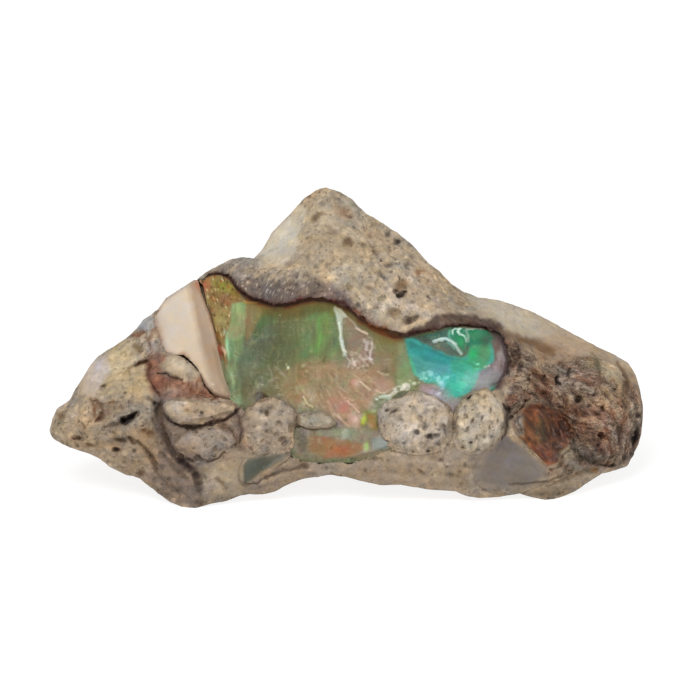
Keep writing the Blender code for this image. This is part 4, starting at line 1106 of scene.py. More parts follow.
    # brown hollow between the left end and the cream opal
    c.patch(((146, 358), (158, 352), (168, 356), (166, 366), (160, 374), (168, 378), (184, 380), (200, 384), (214, 394),
        (206, 400), (180, 398), (160, 400), (150, 384)), (138, 98, 80), 3, 0.9)
    c.blob(156, 386, 7, 9, (118, 72, 56), 20, 0.7)
    c.blob(165, 383, 8, 5, (124, 80, 64), 10, 0.7)
    c.blob(172, 391, 8, 4, (190, 170, 148), -10, 0.6)
    c.blob(196, 388, 12, 8, (146, 106, 84), 10, 0.6)
    c.patch(((160, 366), (170, 355), (184, 353), (196, 366), (200, 376), (190, 380), (176, 378)), (168, 150, 126), 2.5, 0.95)
    c.blob(182, 366, 9, 6, (178, 162, 138), 20, 0.6)
    grainy = lattice(spread(points, 6.0, -88.0) / 0.16, 88)
    ribs = blob(c.u, c.v, 196, 386, 16, 10, 10, 2.0)
    c.lay(ribs * smooth(grainy, 0.0, 0.6), (98, 58, 42), 0.6)
    c.lay(ribs * smooth(-grainy, 0.1, 0.7), (184, 152, 122), 0.5)
    c.blob(220, 396, 9, 5, (176, 148, 120), 0, 0.7)
    # grey-brown bed of the two left clasts
    c.patch(((158, 396), (170, 402), (166, 420), (190, 430), (232, 424), (244, 408), (244, 452), (214, 462), (200, 478),
        (206, 508), (160, 500), (146, 480), (158, 450)), (118, 102, 92), 7, 0.75)
    c.blob(160, 425, 8, 24, (108, 92, 80), 5, 0.6)
    c.blob(200, 462, 16, 8, (126, 112, 102), 10, 0.6)
    c.blob(190, 492, 22, 12, (112, 98, 86), 0, 0.6)
    c.blob(165, 484, 14, 9, (132, 116, 100), 30, 0.6)
    c.blob(213, 453, 14, 7, (152, 136, 120), 5, 0.75)
    c.blob(208, 470, 10, 5, (160, 138, 108), 0, 0.7)
    # cream foot to the right of them
    c.patch(((214, 446), (232, 444), (246, 452), (244, 484), (256, 494), (220, 502), (222, 486), (214, 470)),
        (160, 142, 118), 5, 0.9)
    c.blob(226, 474, 9, 9, (184, 164, 134), 0, 0.75)
    c.blob(228, 456, 9, 9, (160, 134, 112), 0, 0.6)
    c.blob(236, 488, 14, 6, (150, 132, 110), 10, 0.6)
    c.blob(225, 498, 20, 4, (130, 116, 100), -5, 0.6)
    # bottom band: its own grey-tan, laid darker in part as painted shade on the underside
    c.patch(((244, 486), (262, 478), (282, 466), (300, 458), (372, 458), (452, 454), (480, 462), (480, 500), (400, 488),
        (332, 477), (300, 481), (262, 496), (244, 496)), (152, 135, 117), 4, 0.9)
    c.blob(284, 464, 24, 3.5, (168, 150, 132), -22, 0.7)
    c.blob(330, 466, 34, 5, (158, 140, 122), 0, 0.5)
    c.blob(400, 464, 40, 7, (160, 143, 124), 4, 0.6)
    c.blob(452, 478, 26, 8, (154, 138, 114), 10, 0.6)
    c.blob(470, 462, 22, 7, (156, 140, 118), 0, 0.6)
    c.blob(262, 488, 20, 5, (134, 118, 102), -15, 0.6)
    c.blob(500, 490, 40, 5, (142, 128, 112), 5, 0.6)
    c.blob(284, 453, 14, 5, (150, 134, 118), 0, 0.6)
    c.blob(245, 446, 14, 5, (128, 106, 94), 10, 0.6)
    # lower right: smooth grey rock round the lilac opal, and the lip below
    c.patch(((470, 456), (500, 436), (506, 440), (548, 466), (560, 476), (520, 488), (486, 492), (472, 478)),
        (136, 122, 108), 5, 0.75)
    c.blob(555, 462, 12, 9, (146, 128, 108), 0, 0.7)
    c.blob(556, 474, 24, 6, (136, 112, 94), -10, 0.6)
    c.blob(575, 474, 12, 7, (132, 116, 98), -20, 0.6)
    c.blob(548, 492, 30, 5, (138, 122, 102), -6, 0.8)
    c.blob(520, 480, 26, 4, (158, 144, 122), 3, 0.5)
    c.blob(540, 479, 22, 2.5, (172, 158, 134), -5, 0.6)
    # long streaks in the bottom band
    lines = lattice(spread(points, 9.0, 3.0) / 0.28, 91)
    band = smooth(c.v, 452, 462) * smooth(c.u, 236, 262) * (1 - smooth(c.u, 540, 580))
    c.rgb *= (1 + 0.07 * band * lines)[:, None]


RIM_LINE = ((209, 275), (216, 273), (223, 274.5), (229, 278), (234, 284), (240, 291), (247, 297), (256, 300.5), (266, 303.5),
    (276, 305.5), (288, 305), (300, 301.5), (314, 299.5), (330, 301.5), (344, 304), (352, 311), (360, 319), (372, 326), (384, 332),
    (396, 336), (408, 335.5), (420, 332), (434, 329), (446, 325.5), (462, 325), (480, 326.5), (494, 331))


def paint_rim(c, u, v, behind, near):
    """The line of dark iron ore along the opal's upper edge, darkened further as painted shade under the overhang of
    the rim, and the walls below it, painted dark brown as rust and painted shade in the hollows.
    """
    rim = to_line(c.u, c.v, RIM_LINE)[0]
    rust = smooth(cloudy(c.points, 0.8, 2, 110), -0.3, 0.4)
    # the dark line along the rim: iron stain and painted shade under the overhang
    c.lay(np.exp(-((rim / 5.0) ** 2)) * smooth(c.u, 236, 262) * (1 - smooth(c.u, 396, 408)), (104, 78, 74), 0.55)
    c.lay(np.exp(-((rim / 2.2) ** 2)), (58, 32, 28), 0.92)
    c.lay(np.exp(-((rim / 2.6) ** 2)) * rust * smooth(c.u, 258, 268) * (1 - smooth(c.u, 340, 350)), (104, 44, 34), 0.6)
    c.stroke(((214, 275), (222, 275), (230, 280), (238, 289), (246, 296), (255, 300)), 6.5, (52, 28, 22), 1.4, 0.92)
    c.stroke(((206, 279), (212, 276), (220, 277), (228, 283)), 4.0, (142, 76, 46), 1.2, 0.6)
    c.stroke(((352, 309), (358, 315), (364, 320)), 6.0, (134, 94, 74), 1.5, 0.75)
    c.stroke(((362, 321), (372, 326), (384, 331), (396, 335)), 4.4, (122, 68, 34), 1.3, 0.85)
    c.stroke(((384, 331), (394, 334.5), (404, 335)), 2.6, (60, 34, 20), 1.0, 0.8)
    # walls of the hollows that hold the other pieces, painted dark brown: rust and painted shade in the hollows
    wall = smooth(behind - 0.0, 0.12, 0.8) * near * smooth(inside(u, v, SEAM), -3, 1)
    c.lay(wall, (78, 44, 32), 0.9)


def paint_host(u, v, points, near, behind, m):
    c = Canvas(u, v, points, 1.3)
    paint_ground(c, points, m)
    lay_grain_and_pit_shade(c, points, m["calm"])
    paint_pocks_and_shade(c)
    paint_rim(c, u, v, behind, near)
    hidden = np.where(near, 0.0, smooth(behind, 0.15, 1.8))
    d = Canvas(u, v, points, 0.0)
    d.rgb[:] = (170, 152, 128)
    zone = cloudy(points, 5.5, 3, 101)
    zone2 = cloudy(points, 3.2, 3, 102)
    d.lay(smooth(zone, 0.0, 0.7), (184, 168, 144), 0.8)
    d.lay(smooth(-zone, 0.05, 0.8), (144, 124, 104), 0.75)
    d.lay(smooth(zone2, 0.25, 0.8), (158, 138, 110), 0.6)
    d.lay(smooth(cloudy(points, 2.0, 4, 103), 0.35, 0.9), (122, 88, 64), 0.55)
    rust = smooth(cloudy(points, 3.0, 4, 104) + 0.25 * smooth(points[:, 0], 8, 18), 0.42, 0.95)
    d.lay(rust, (126, 78, 52), 0.6)
    near_c, second_c, label_c = cells(points + 0.35 * lattice(points / 1.3, 105)[:, None], 3.6, 106)
    lapilli = (label_c > 0.62) * (1 - smooth(near_c, 0.34, 0.38))
    d.lay(lapilli, (182, 165, 142), 0.75)
    d.lay((label_c > 0.62) * np.exp(-(((near_c - 0.385) / 0.025) ** 2)), (104, 84, 68), 0.6)
    d.lay(smooth(points[:, 0], 14, 20) * 0.6, (124, 102, 86), 0.8)
    d.lay(1 - smooth(points[:, 2], 0.0, 1.6), (138, 122, 106), 0.5)
    lay_grain_and_pit_shade(d, points, m["calm"])
    c.rgb += hidden[:, None] * (d.rgb - c.rgb)
    return c.linear()


# ---------------------------------------------------------------- the opal
TEAL = ((404, 337), (418, 341), (433, 348), (448, 354), (462, 357), (472, 352), (480, 340), (491, 338), (494, 352),
    (493, 362), (480, 372), (474, 386), (466, 394), (456, 398), (447, 389), (436, 384), (424, 382), (414, 374),
    (408, 356))


GRITTY = ((197, 281), (214, 273), (228, 276), (240, 292), (243, 301), (232, 304), (231, 312), (230, 325), (226, 332),
    (225, 342), (226, 352), (227, 366), (221, 356), (214, 334), (208, 312), (202, 298))
WHITE_RIDGE = ((334, 306), (341, 308.5), (347, 315), (349, 318), (343, 318), (342.5, 326), (343, 336), (346, 348), (347, 356),
    (343, 357), (342, 348), (339.5, 338), (338, 328), (336.5, 316), (334, 310))


def opal_front(u, v):
    """Fine relief of the opal's broken face in mm, above 0 towards the rock."""
    at = np.stack([u, v, np.zeros_like(u)], -1) * UNIT
    depth = 0.08 * cloudy(at, 4.5, 2, 201) + 0.025 * cloudy(at, 1.4, 2, 202)
    # shell-like steps that fan out from the upper left of the pink area
    r = np.hypot(u - 300, v - 340)
    turn = np.arctan2(v - 340, u - 300)
    fan = smooth(u, 290, 330) * (1 - smooth(u, 372, 392)) * smooth(v, 352, 380) * (1 - smooth(v, 430, 440))
    depth += 0.045 * fan * lattice(np.stack([r / 22, turn * 14, np.zeros_like(u)], -1), 203)
    depth += 0.02 * np.sin(r / 6.5 + 1.5 * lattice(at / 1.6, 204)) * smooth(r, 30, 90)
    ridge = smooth(inside(u, v, WHITE_RIDGE), -1.5, 1.5)
    depth -= 0.13 * ridge
    right = smooth((u - (337 + (v - 308) * 0.20)), -1, 3) * (1 - smooth(u, 372, 392)) * (1 - smooth(v, 360, 385))
    depth += 0.09 * right
    for points, high, wide in (
        (((349, 318), (353, 322), (357, 328), (362, 332), (367, 334)), 0.09, 1.7),
        (((378, 372), (385, 374), (392, 379)), 0.05, 1.5), (((360, 382), (364, 386), (370, 390)), 0.06, 1.5),
        (((348, 402), (359, 412)), 0.05, 1.2), (((335, 415), (349, 427)), 0.04, 1.2), (((304, 398), (307, 404), (312, 408)), 0.05, 1.3),
        (((434, 341), (441, 339), (447, 338.5), (452, 341), (456, 346), (461, 354)), 0.11, 2.0),
        (((453, 332), (453, 329.5), (457, 328.5), (461, 329.5), (459, 333), (463, 336), (466, 341)), 0.10, 1.6),
        (((440, 346), (450, 347), (458, 353)), 0.05, 2.0), (((408, 341), (424, 346), (440, 353), (456, 358)), 0.06, 2.2),
    ):
        depth -= high * np.exp(-((to_line(u, v, points)[0] / wide) ** 2))
    hackly = smooth(inside(u, v, ((346, 352), (352, 346), (362, 348), (364, 336), (372, 338), (376, 352), (374, 366), (360, 370),
        (346, 368))), -2, 3)
    depth += 0.05 * hackly * cloudy(at, 0.36, 2, 205)
    # the teal lobe is a shallow dish
    depth += 0.08 * smooth(inside(u, v, TEAL), -8, 16)
    chain = to_line(u, v, ((378, 398), (388, 397), (396, 392), (404, 387)))[0]
    depth -= 0.24 * np.exp(-((chain / 3.4) ** 2)) * (0.6 + 0.4 * lattice(at / 0.22, 206))
    gritty = smooth(inside(u, v, GRITTY), -2, 3)
    depth += gritty * (0.07 * cloudy(at, 0.30, 2, 207) - 0.03)
    depth += 0.012 * cloudy(at, 0.5, 2, 208)
    return depth


def paint_opal(u, v, points):
    c = Canvas(u, v, points, 0.9, 240)
    at = np.stack([u, v, np.zeros_like(u)], -1) * UNIT
    c.rgb[:] = (112, 114, 80)
    # dark green left part
    c.patch(((240, 300), (300, 304), (336, 306), (340, 330), (338, 362), (300, 364), (292, 384), (262, 402), (238, 404),
        (236, 372), (244, 342)), (108, 116, 82), 5)
    c.patch(((240, 342), (252, 332), (260, 316), (280, 312), (296, 322), (300, 344), (288, 366), (262, 386), (242, 396),
        (236, 372)), (102, 114, 84), 5, 0.85)
    c.blob(262, 338, 13, 9, (104, 116, 96), -30, 0.7)
    c.blob(253, 354, 13, 10, (106, 118, 100), -20, 0.75)
    c.blob(244, 352, 8, 10, (96, 122, 94), 0, 0.5)
    c.patch(((252, 334), (256, 324), (264, 314), (268, 322), (262, 332), (256, 338)), (86, 108, 66), 2, 0.75)
    c.blob(288, 330, 12, 14, (112, 124, 80), 0, 0.6)
    c.blob(278, 316, 18, 6, (96, 102, 60), 5, 0.7)
    c.blob(262, 372, 12, 14, (104, 114, 80), 0, 0.6)
    c.patch(((239, 368), (262, 368), (264, 396), (262, 402), (238, 402)), (110, 112, 80), 3, 0.8)
    c.blob(252, 395, 11, 7, (118, 106, 76), 0, 0.8)
    c.blob(241, 385, 3, 16, (92, 104, 76), 0, 0.7)
    c.blob(276, 376, 12, 10, (122, 114, 82), 10, 0.7)
    c.blob(288, 388, 12, 12, (134, 114, 72), 0, 0.8)
    c.blob(272, 394, 10, 6, (116, 104, 66), 0, 0.8)
    c.patch(((255, 396), (258, 391), (264, 394), (269, 397), (262, 402), (256, 402)), (66, 50, 28), 1.4, 0.85)
    # brownish strip and mint strip beside it
    c.patch(((245, 302), (261, 302), (262, 310), (258, 320), (253, 332), (246, 341), (243, 328)), (142, 126, 82), 2.0)
    c.blob(250, 320, 3.5, 14, (146, 128, 90), 8, 0.5)
    c.patch(((231, 303), (246, 301), (246, 320), (244, 336), (240, 342), (226, 345), (226, 334), (230, 322)),
        (142, 160, 110), 1.8)
    c.blob(239, 318, 3.5, 15, (158, 176, 122), 4, 0.75)
    c.blob(233, 338, 8, 5, (134, 158, 112), 0, 0.7)
    c.patch(((226, 342), (244, 338), (242, 352), (238, 362), (228, 366)), (112, 142, 98), 2.5, 0.8)
    c.blob(236, 355, 2.4, 7, (140, 162, 118), 0, 0.7)
    c.blob(231, 354, 2.0, 6, (100, 148, 92), 0, 0.7)
    c.patch(((226, 364), (234, 362), (240, 380), (242, 404), (232, 404), (227, 386)), (128, 146, 104), 2, 0.9)
    c.blob(237, 385, 2.0, 12, (98, 112, 82), 0, 0.7)
    c.blob(236, 402, 6, 5, (152, 164, 126), 0, 0.8)
    c.stroke(((227, 332), (225.5, 340), (227, 350), (229, 358)), 3.4, (150, 196, 142), 1.0, 0.9)
    c.stroke(((231, 372), (233, 380), (234, 388)), 2.6, (150, 184, 132), 1.0, 0.8)
    # olive and bright green middle
    c.patch(((298, 316), (318, 308), (337, 307), (341, 330), (343, 356), (318, 363), (298, 362)), (114, 130, 82), 5, 0.9)
    c.blob(306, 340, 9, 16, (112, 136, 90), 0, 0.7)
    c.patch(((317, 316), (323, 310), (333, 316), (334, 332), (326, 348), (316, 358), (310, 350), (316, 334)),
        (116, 150, 86), 2.5, 0.85)
    c.stroke(((319, 318), (320, 330), (320, 342), (316, 352)), 4.5, (112, 166, 84), 2.0, 0.85)
    c.blob(327, 326, 4, 9, (122, 152, 82), 0, 0.6)
    c.blob(335, 338, 4, 12, (98, 128, 92), -8, 0.65)
    c.blob(333, 356, 10, 6, (128, 142, 96), 0, 0.6)
    c.blob(333, 312, 5, 6, (116, 118, 52), 0, 0.8)
    c.stroke(((308, 362), (316, 361.5), (323, 362)), 2.0, (150, 164, 112), 0.8, 0.6)
    c.patch(((258, 302), (284, 305), (301, 301), (331, 302), (338, 308), (318, 313), (296, 318), (262, 316)),
        (100, 96, 48), 4, 0.8)
    c.blob(290, 362, 12, 12, (116, 124, 80), 0, 0.5)
    # tan and pink lower middle
    c.patch(((284, 374), (302, 363), (345, 362), (352, 372), (362, 392), (362, 430), (350, 432), (322, 412), (298, 406),
        (284, 398)), (158, 134, 102), 6, 0.9)
    c.blob(300, 374, 12, 8, (138, 124, 82), 20, 0.7)
    c.blob(294, 392, 8, 14, (134, 112, 68), 0, 0.75)
    c.blob(322, 374, 14, 7, (160, 138, 98), 10, 0.6)
    c.blob(342, 366, 9, 7, (152, 134, 106), 10, 0.6)
    c.blob(318, 396, 14, 9, (160, 134, 98), 20, 0.6)
    c.blob(334, 406, 11, 9, (172, 128, 108), 35, 0.8)
    c.blob(345, 408, 6, 9, (178, 122, 108), -20, 0.75)
    c.blob(354, 420, 6, 8, (202, 160, 148), 0, 0.85)
    c.blob(340, 392, 9, 9, (166, 132, 108), 0, 0.6)
    c.patch(((318, 410), (330, 414), (345, 428), (338, 432), (322, 420)), (146, 126, 112), 2.5, 0.8)
    c.blob(338, 424, 6, 4, (142, 120, 118), 30, 0.7)
    # mauve broken area under the white ridge
    c.patch(((342, 318), (350, 316), (360, 330), (376, 342), (386, 362), (386, 384), (372, 402), (360, 400), (350, 380),
        (346, 352)), (150, 128, 104), 4, 0.9)
    c.blob(346, 330, 4, 12, (132, 128, 92), -8, 0.7)
    c.blob(356, 340, 7, 9, (152, 124, 112), 0, 0.85)
    c.blob(369, 348, 5, 12, (158, 136, 120), 0, 0.7)
    c.blob(356, 360, 11, 7, (180, 158, 142), 10, 0.75)
    c.patch(((352, 372), (376, 366), (394, 380), (396, 390), (380, 396), (366, 408), (356, 398)), (168, 140, 112), 5, 0.85)
    c.blob(368, 384, 9, 5, (168, 144, 110), 0, 0.6)
    c.blob(356, 383, 5, 5, (206, 176, 158), 0, 0.8)
    c.blob(384, 386, 9, 7, (176, 142, 122), 0, 0.7)
    c.blob(368, 404, 9, 8, (170, 140, 112), 0, 0.7)
    # olive at the right of it, and the light green strip by the teal lobe
    c.patch(((366, 326), (378, 331), (392, 337), (402, 340), (403, 362), (398, 378), (386, 374), (376, 352)),
        (132, 122, 84), 4, 0.9)
    c.blob(388, 341, 9, 5, (126, 116, 56), 15, 0.8)
    c.blob(384, 362, 9, 9, (142, 130, 102), 0, 0.7)
    c.blob(394, 352, 6, 9, (128, 128, 80), 0, 0.6)
    c.patch(((398, 344), (405, 342), (411, 358), (416, 374), (414, 386), (402, 390), (396, 376)), (138, 148, 106), 3, 0.85)
    c.blob(406, 366, 4, 13, (132, 160, 112), -10, 0.75)
    c.blob(406, 384, 8, 5, (156, 156, 112), 0, 0.7)
    c.blob(420, 390, 8, 4, (146, 150, 108), 5, 0.7)
    # square of green and orange between the pink area and the clast
    c.patch(((361, 412), (366, 410), (378, 411), (379, 430), (374, 434), (362, 433)), (124, 116, 58), 1.2, 0.95)
    c.blob(364, 420, 2.6, 5, (172, 188, 66), 0, 0.95, 1.6)
    c.patch(((368, 415), (376, 415), (377, 428), (369, 428)), (156, 112, 60), 1.2, 0.85)
    c.blob(372, 411.5, 6, 1.8, (140, 150, 84), 0, 0.8)
    c.blob(366, 427, 4, 3, (120, 104, 92), 0, 0.7)
    c.stroke(((378, 412), (379, 420), (378, 428)), 1.8, (92, 70, 40), 0.7, 0.7)
    # purple and lilac at the right end
    c.patch(((474, 370), (484, 366), (494, 360), (506, 352), (508, 372), (498, 386), (484, 398), (468, 400)),
        (138, 132, 134), 3, 0.95)
    c.patch(((486, 338), (500, 336), (507, 350), (506, 368), (498, 372), (490, 368), (489, 352)), (116, 96, 90), 3, 0.9)
    c.blob(496, 366, 4, 8, (124, 104, 112), 10, 0.7)
    c.blob(489, 374, 8, 7, (140, 130, 142), -20, 0.7)
    c.blob(476, 390, 8, 3, (112, 88, 88), -20, 0.8)
    c.patch(((420, 384), (436, 384), (450, 392), (462, 400), (455, 412), (446, 412), (436, 404), (420, 396)),
        (156, 146, 146), 3, 0.95)
    c.blob(430, 393, 7, 5, (164, 150, 154), 10, 0.7)
    c.blob(448, 402, 6, 7, (148, 138, 138), 0, 0.7)
    # lower strip
    c.patch(((296, 428), (330, 428), (362, 430), (390, 430), (392, 446), (374, 458), (300, 460), (292, 446)),
        (132, 120, 98), 3.0, 0.95)
    c.patch(((296, 430), (306, 430), (306, 452), (298, 452)), (100, 92, 76), 2.5, 0.85)
    c.patch(((316, 430), (340, 429), (360, 432), (361, 441), (334, 439), (318, 437)), (138, 142, 118), 2.0, 0.85)
    c.blob(340, 433, 10, 3.2, (144, 158, 128), 0, 0.8)
    c.patch(((308, 437), (326, 437), (360, 443), (366, 448), (352, 457), (326, 458), (310, 452)), (150, 114, 76), 2.2, 0.9)
    c.blob(317, 438.5, 8, 2.6, (152, 106, 82), 0, 0.7)
    c.blob(340, 449, 17, 6, (178, 106, 66), 3, 0.85)
    c.blob(318, 447, 8, 6, (138, 108, 68), 0, 0.6)
    c.stroke(((362, 444), (366, 449), (370, 451)), 5.0, (150, 144, 80), 1.5, 0.7)
    c.blob(366, 446, 2.6, 5, (156, 182, 92), 0, 0.9, 1.5)
    c.patch(((369, 436), (380, 436), (390, 440), (388, 449), (374, 449)), (116, 124, 114), 2, 0.9)
    c.patch(((360, 428), (379, 431), (382, 437), (362, 438)), (140, 132, 108), 1.5, 0.8)
    # the teal lobe
    c.patch(TEAL, (70, 166, 148), 1.8)
    c.patch(((405, 338), (416, 338), (430, 346), (446, 356), (456, 359), (446, 366), (424, 362), (411, 354)), (46, 152, 146), 2, 0.9)
    c.patch(((410, 352), (424, 360), (448, 364), (452, 374), (434, 376), (418, 376)), (84, 164, 160), 3, 0.8)
    c.blob(411, 345, 5, 5, (40, 134, 126), 30, 0.7)
    c.patch(((450, 360), (468, 358), (480, 360), (476, 374), (452, 374)), (68, 164, 128), 3, 0.85)
    c.blob(458, 386, 12, 9, (62, 186, 156), -10, 0.85)
    c.blob(450, 392, 5, 6, (84, 176, 160), 0, 0.6)
    c.patch(((468, 344), (478, 336), (490, 338), (490, 356), (486, 368), (474, 370), (468, 356)), (74, 158, 106), 2.5, 0.9)
    c.blob(473, 353, 4.5, 6, (40, 190, 114), 10, 0.9)
    c.blob(484, 352, 5, 12, (92, 144, 102), 0, 0.7)
    c.stroke(((410, 356), (413, 366), (417, 376)), 3.4, (96, 196, 140), 1.4, 0.7)
    c.patch(((412, 336), (424, 337), (436, 332), (448, 328), (466, 330), (470, 342), (466, 354), (452, 356), (434, 349),
        (420, 341)), (86, 108, 92), 2.0, 0.95)
    c.patch(((420, 336), (434, 333), (446, 330), (447, 337), (434, 340)), (54, 108, 92), 2.0, 0.85)
    c.blob(425, 339, 7, 2.2, (48, 66, 58), 8, 0.7)
    c.blob(440, 348, 8, 3.0, (112, 114, 96), 20, 0.8)
    c.patch(((446, 328), (456, 327), (470, 329), (486, 330), (494, 338), (486, 344), (472, 344), (466, 352), (458, 346),
        (450, 337)), (36, 128, 92), 1.8, 0.95)
    c.blob(451, 332, 3, 4, (60, 162, 118), 0, 0.8)
    c.blob(461, 343, 4, 6, (58, 168, 108), -25, 0.8)
    c.blob(479, 336, 6, 4, (48, 138, 84), 0, 0.8)
    c.blob(487, 340, 6, 5, (84, 104, 84), 0, 0.7)
    c.blob(467, 348, 3, 3, (96, 92, 78), 0, 0.7)
    c.blob(492.5, 388, 3.0, 4.0, (66, 132, 110), 10, 0.9, 1.4)
    c.blob(494, 384, 4.0, 1.6, (62, 60, 56), -20, 0.8)

    # play of colour: small plates, each with its own lean in hue
    plate, second, label = cells(np.stack([u + 0.6 * (v - 350), v * 1.0, np.zeros_like(u)], -1) * UNIT, 0.85, 260)
    lean = (label - 0.5) * 2
    edge_fade = smooth(second - plate, 0.0, 0.25)
    c.rgb *= 1 + 0.05 * (lean * edge_fade)[:, None] * np.array((-0.9, 0.8, 0.2))
    c.rgb *= 1 + 0.05 * cloudy(at, 1.1, 3, 261)[:, None]
    # upright silk in the green part
    silk = lattice(np.stack([u / 1.6, v / 11, np.zeros_like(u)], -1), 272) + 0.6 * lattice(
        np.stack([u / 3.4, v / 20, np.zeros_like(u)], -1), 273)
    greens = (1 - smooth(c.u, 330, 350)) * (1 - smooth(c.v, 372, 396))
    c.rgb *= 1 + 0.055 * (silk * greens)[:, None]
    # thin curled light and dark lines all over
    bend = at + 0.12 * np.stack([lattice(at / 0.5, 274), lattice(at / 0.5, 275), np.zeros_like(u)], -1)
    for size, seed, colour, strength, gate in (
        (0.42, 276, (168, 168, 132), 0.42, 0.15), (0.30, 278, (182, 176, 142), 0.36, 0.25), (0.36, 280, (76, 72, 48), 0.34, 0.2),
    ):
        line = 1 - smooth(np.abs(lattice(bend / size, seed)), 0.03, 0.13)
        shown = smooth(lattice(bend / (2.2 * size), seed + 1), gate, gate + 0.25)
        whole = 1 - smooth(inside(c.u, c.v, TEAL), -3, 3)
        c.lay(line * shown * whole * smooth(c.v, 312, 322), colour, strength)

    # feathery light lines running down to the right through the pink area: whitish hackle marks, partly painted
    # highlights on their ridges
    r = np.hypot(u - 292, v - 330)
    turn = np.arctan2(v - 330, u - 292)
    fan = smooth(c.u, 290, 318) * (1 - smooth(c.u, 366, 384)) * smooth(c.v, 362, 382) * (1 - smooth(c.v, 422, 432))
    plume = lattice(np.stack([r / 9, turn * 40, np.zeros_like(u)], -1), 262)
    plume2 = lattice(np.stack([r / 5, turn * 80, np.zeros_like(u)], -1), 263)
    c.lay(fan * smooth(plume + 0.7 * plume2, 0.55, 1.1), (204, 182, 146), 0.45)
    c.lay(fan * smooth(-plume - 0.7 * plume2, 0.5, 1.1), (132, 100, 74), 0.40)
    for points, wide, colour, strength in (
        (((335, 415), (341, 420), (349, 427)), 1.3, (208, 170, 148), 0.8), (((348, 402), (353, 406), (359, 412)), 1.5, (226, 192, 170), 0.85),
        (((345, 398), (349, 400), (354, 401)), 1.8, (206, 170, 150), 0.7), (((304, 397), (307, 403), (312, 408)), 1.6, (214, 196, 144), 0.85),
        (((302, 389), (305, 392), (309, 396)), 1.4, (198, 182, 132), 0.7), (((360, 382), (364, 386), (370, 390)), 1.8, (222, 200, 162), 0.85),
        (((376, 390), (380, 392), (384, 393)), 1.5, (218, 190, 162), 0.8), (((378, 372), (382, 374), (388, 375)), 1.8, (190, 184, 152), 0.75),
        (((384, 360), (388, 358), (391, 361)), 1.2, (176, 162, 132), 0.6), (((376, 340), (379, 347), (383, 352)), 1.2, (160, 150, 110), 0.6),
        (((327, 372), (332, 378), (333, 384)), 1.3, (186, 160, 122), 0.6), (((337, 386), (343, 389), (348, 393)), 1.3, (196, 166, 138), 0.6),
        (((322, 384), (327, 386), (333, 390)), 1.2, (184, 158, 120), 0.5), (((352, 386), (357, 392), (364, 395)), 1.3, (190, 164, 128), 0.6),
        (((338, 391), (342, 396), (346, 402)), 1.3, (200, 166, 142), 0.6), (((354, 372), (360, 370), (368, 371)), 1.2, (184, 160, 132), 0.5),
        (((296, 380), (300, 385), (302, 392)), 1.3, (172, 156, 104), 0.6), (((318, 366), (326, 366), (334, 369)), 1.2, (176, 156, 116), 0.5),
        (((352, 404), (356, 404), (359, 408)), 1.2, (214, 180, 160), 0.6), (((306, 370), (312, 374), (316, 380)), 1.2, (178, 164, 118), 0.55),
        (((268, 366), (271, 372), (272, 380)), 1.3, (156, 160, 132), 0.7), (((276, 368), (280, 371), (284, 376)), 2.0, (158, 152, 138), 0.7),
        (((279, 373), (284, 376), (287, 381)), 1.4, (168, 160, 128), 0.7), (((256, 382), (257, 388), (259, 384), (264, 385)), 1.8, (160, 168, 130), 0.75),
        (((276, 383), (278, 388), (282, 390)), 1.2, (170, 158, 112), 0.6), (((289, 368), (290, 374), (288, 378)), 1.2, (176, 160, 100), 0.6),
        (((283, 378), (290, 378), (298, 378.5)), 1.1, (150, 136, 88), 0.5), (((292, 382), (296, 386), (297, 392)), 1.4, (170, 156, 104), 0.65),
        (((278, 395), (284, 394), (290, 398), (294, 404)), 1.6, (156, 144, 96), 0.6), (((270, 342), (272, 348), (271, 354)), 1.2, (138, 146, 116), 0.6),
        (((247, 343), (253, 341), (258, 340)), 1.0, (136, 144, 116), 0.5), (((258, 354), (262, 357), (266, 360)), 1.4, (134, 146, 128), 0.6),
    ):
        c.stroke(points, wide, colour, 0.7, strength, False)
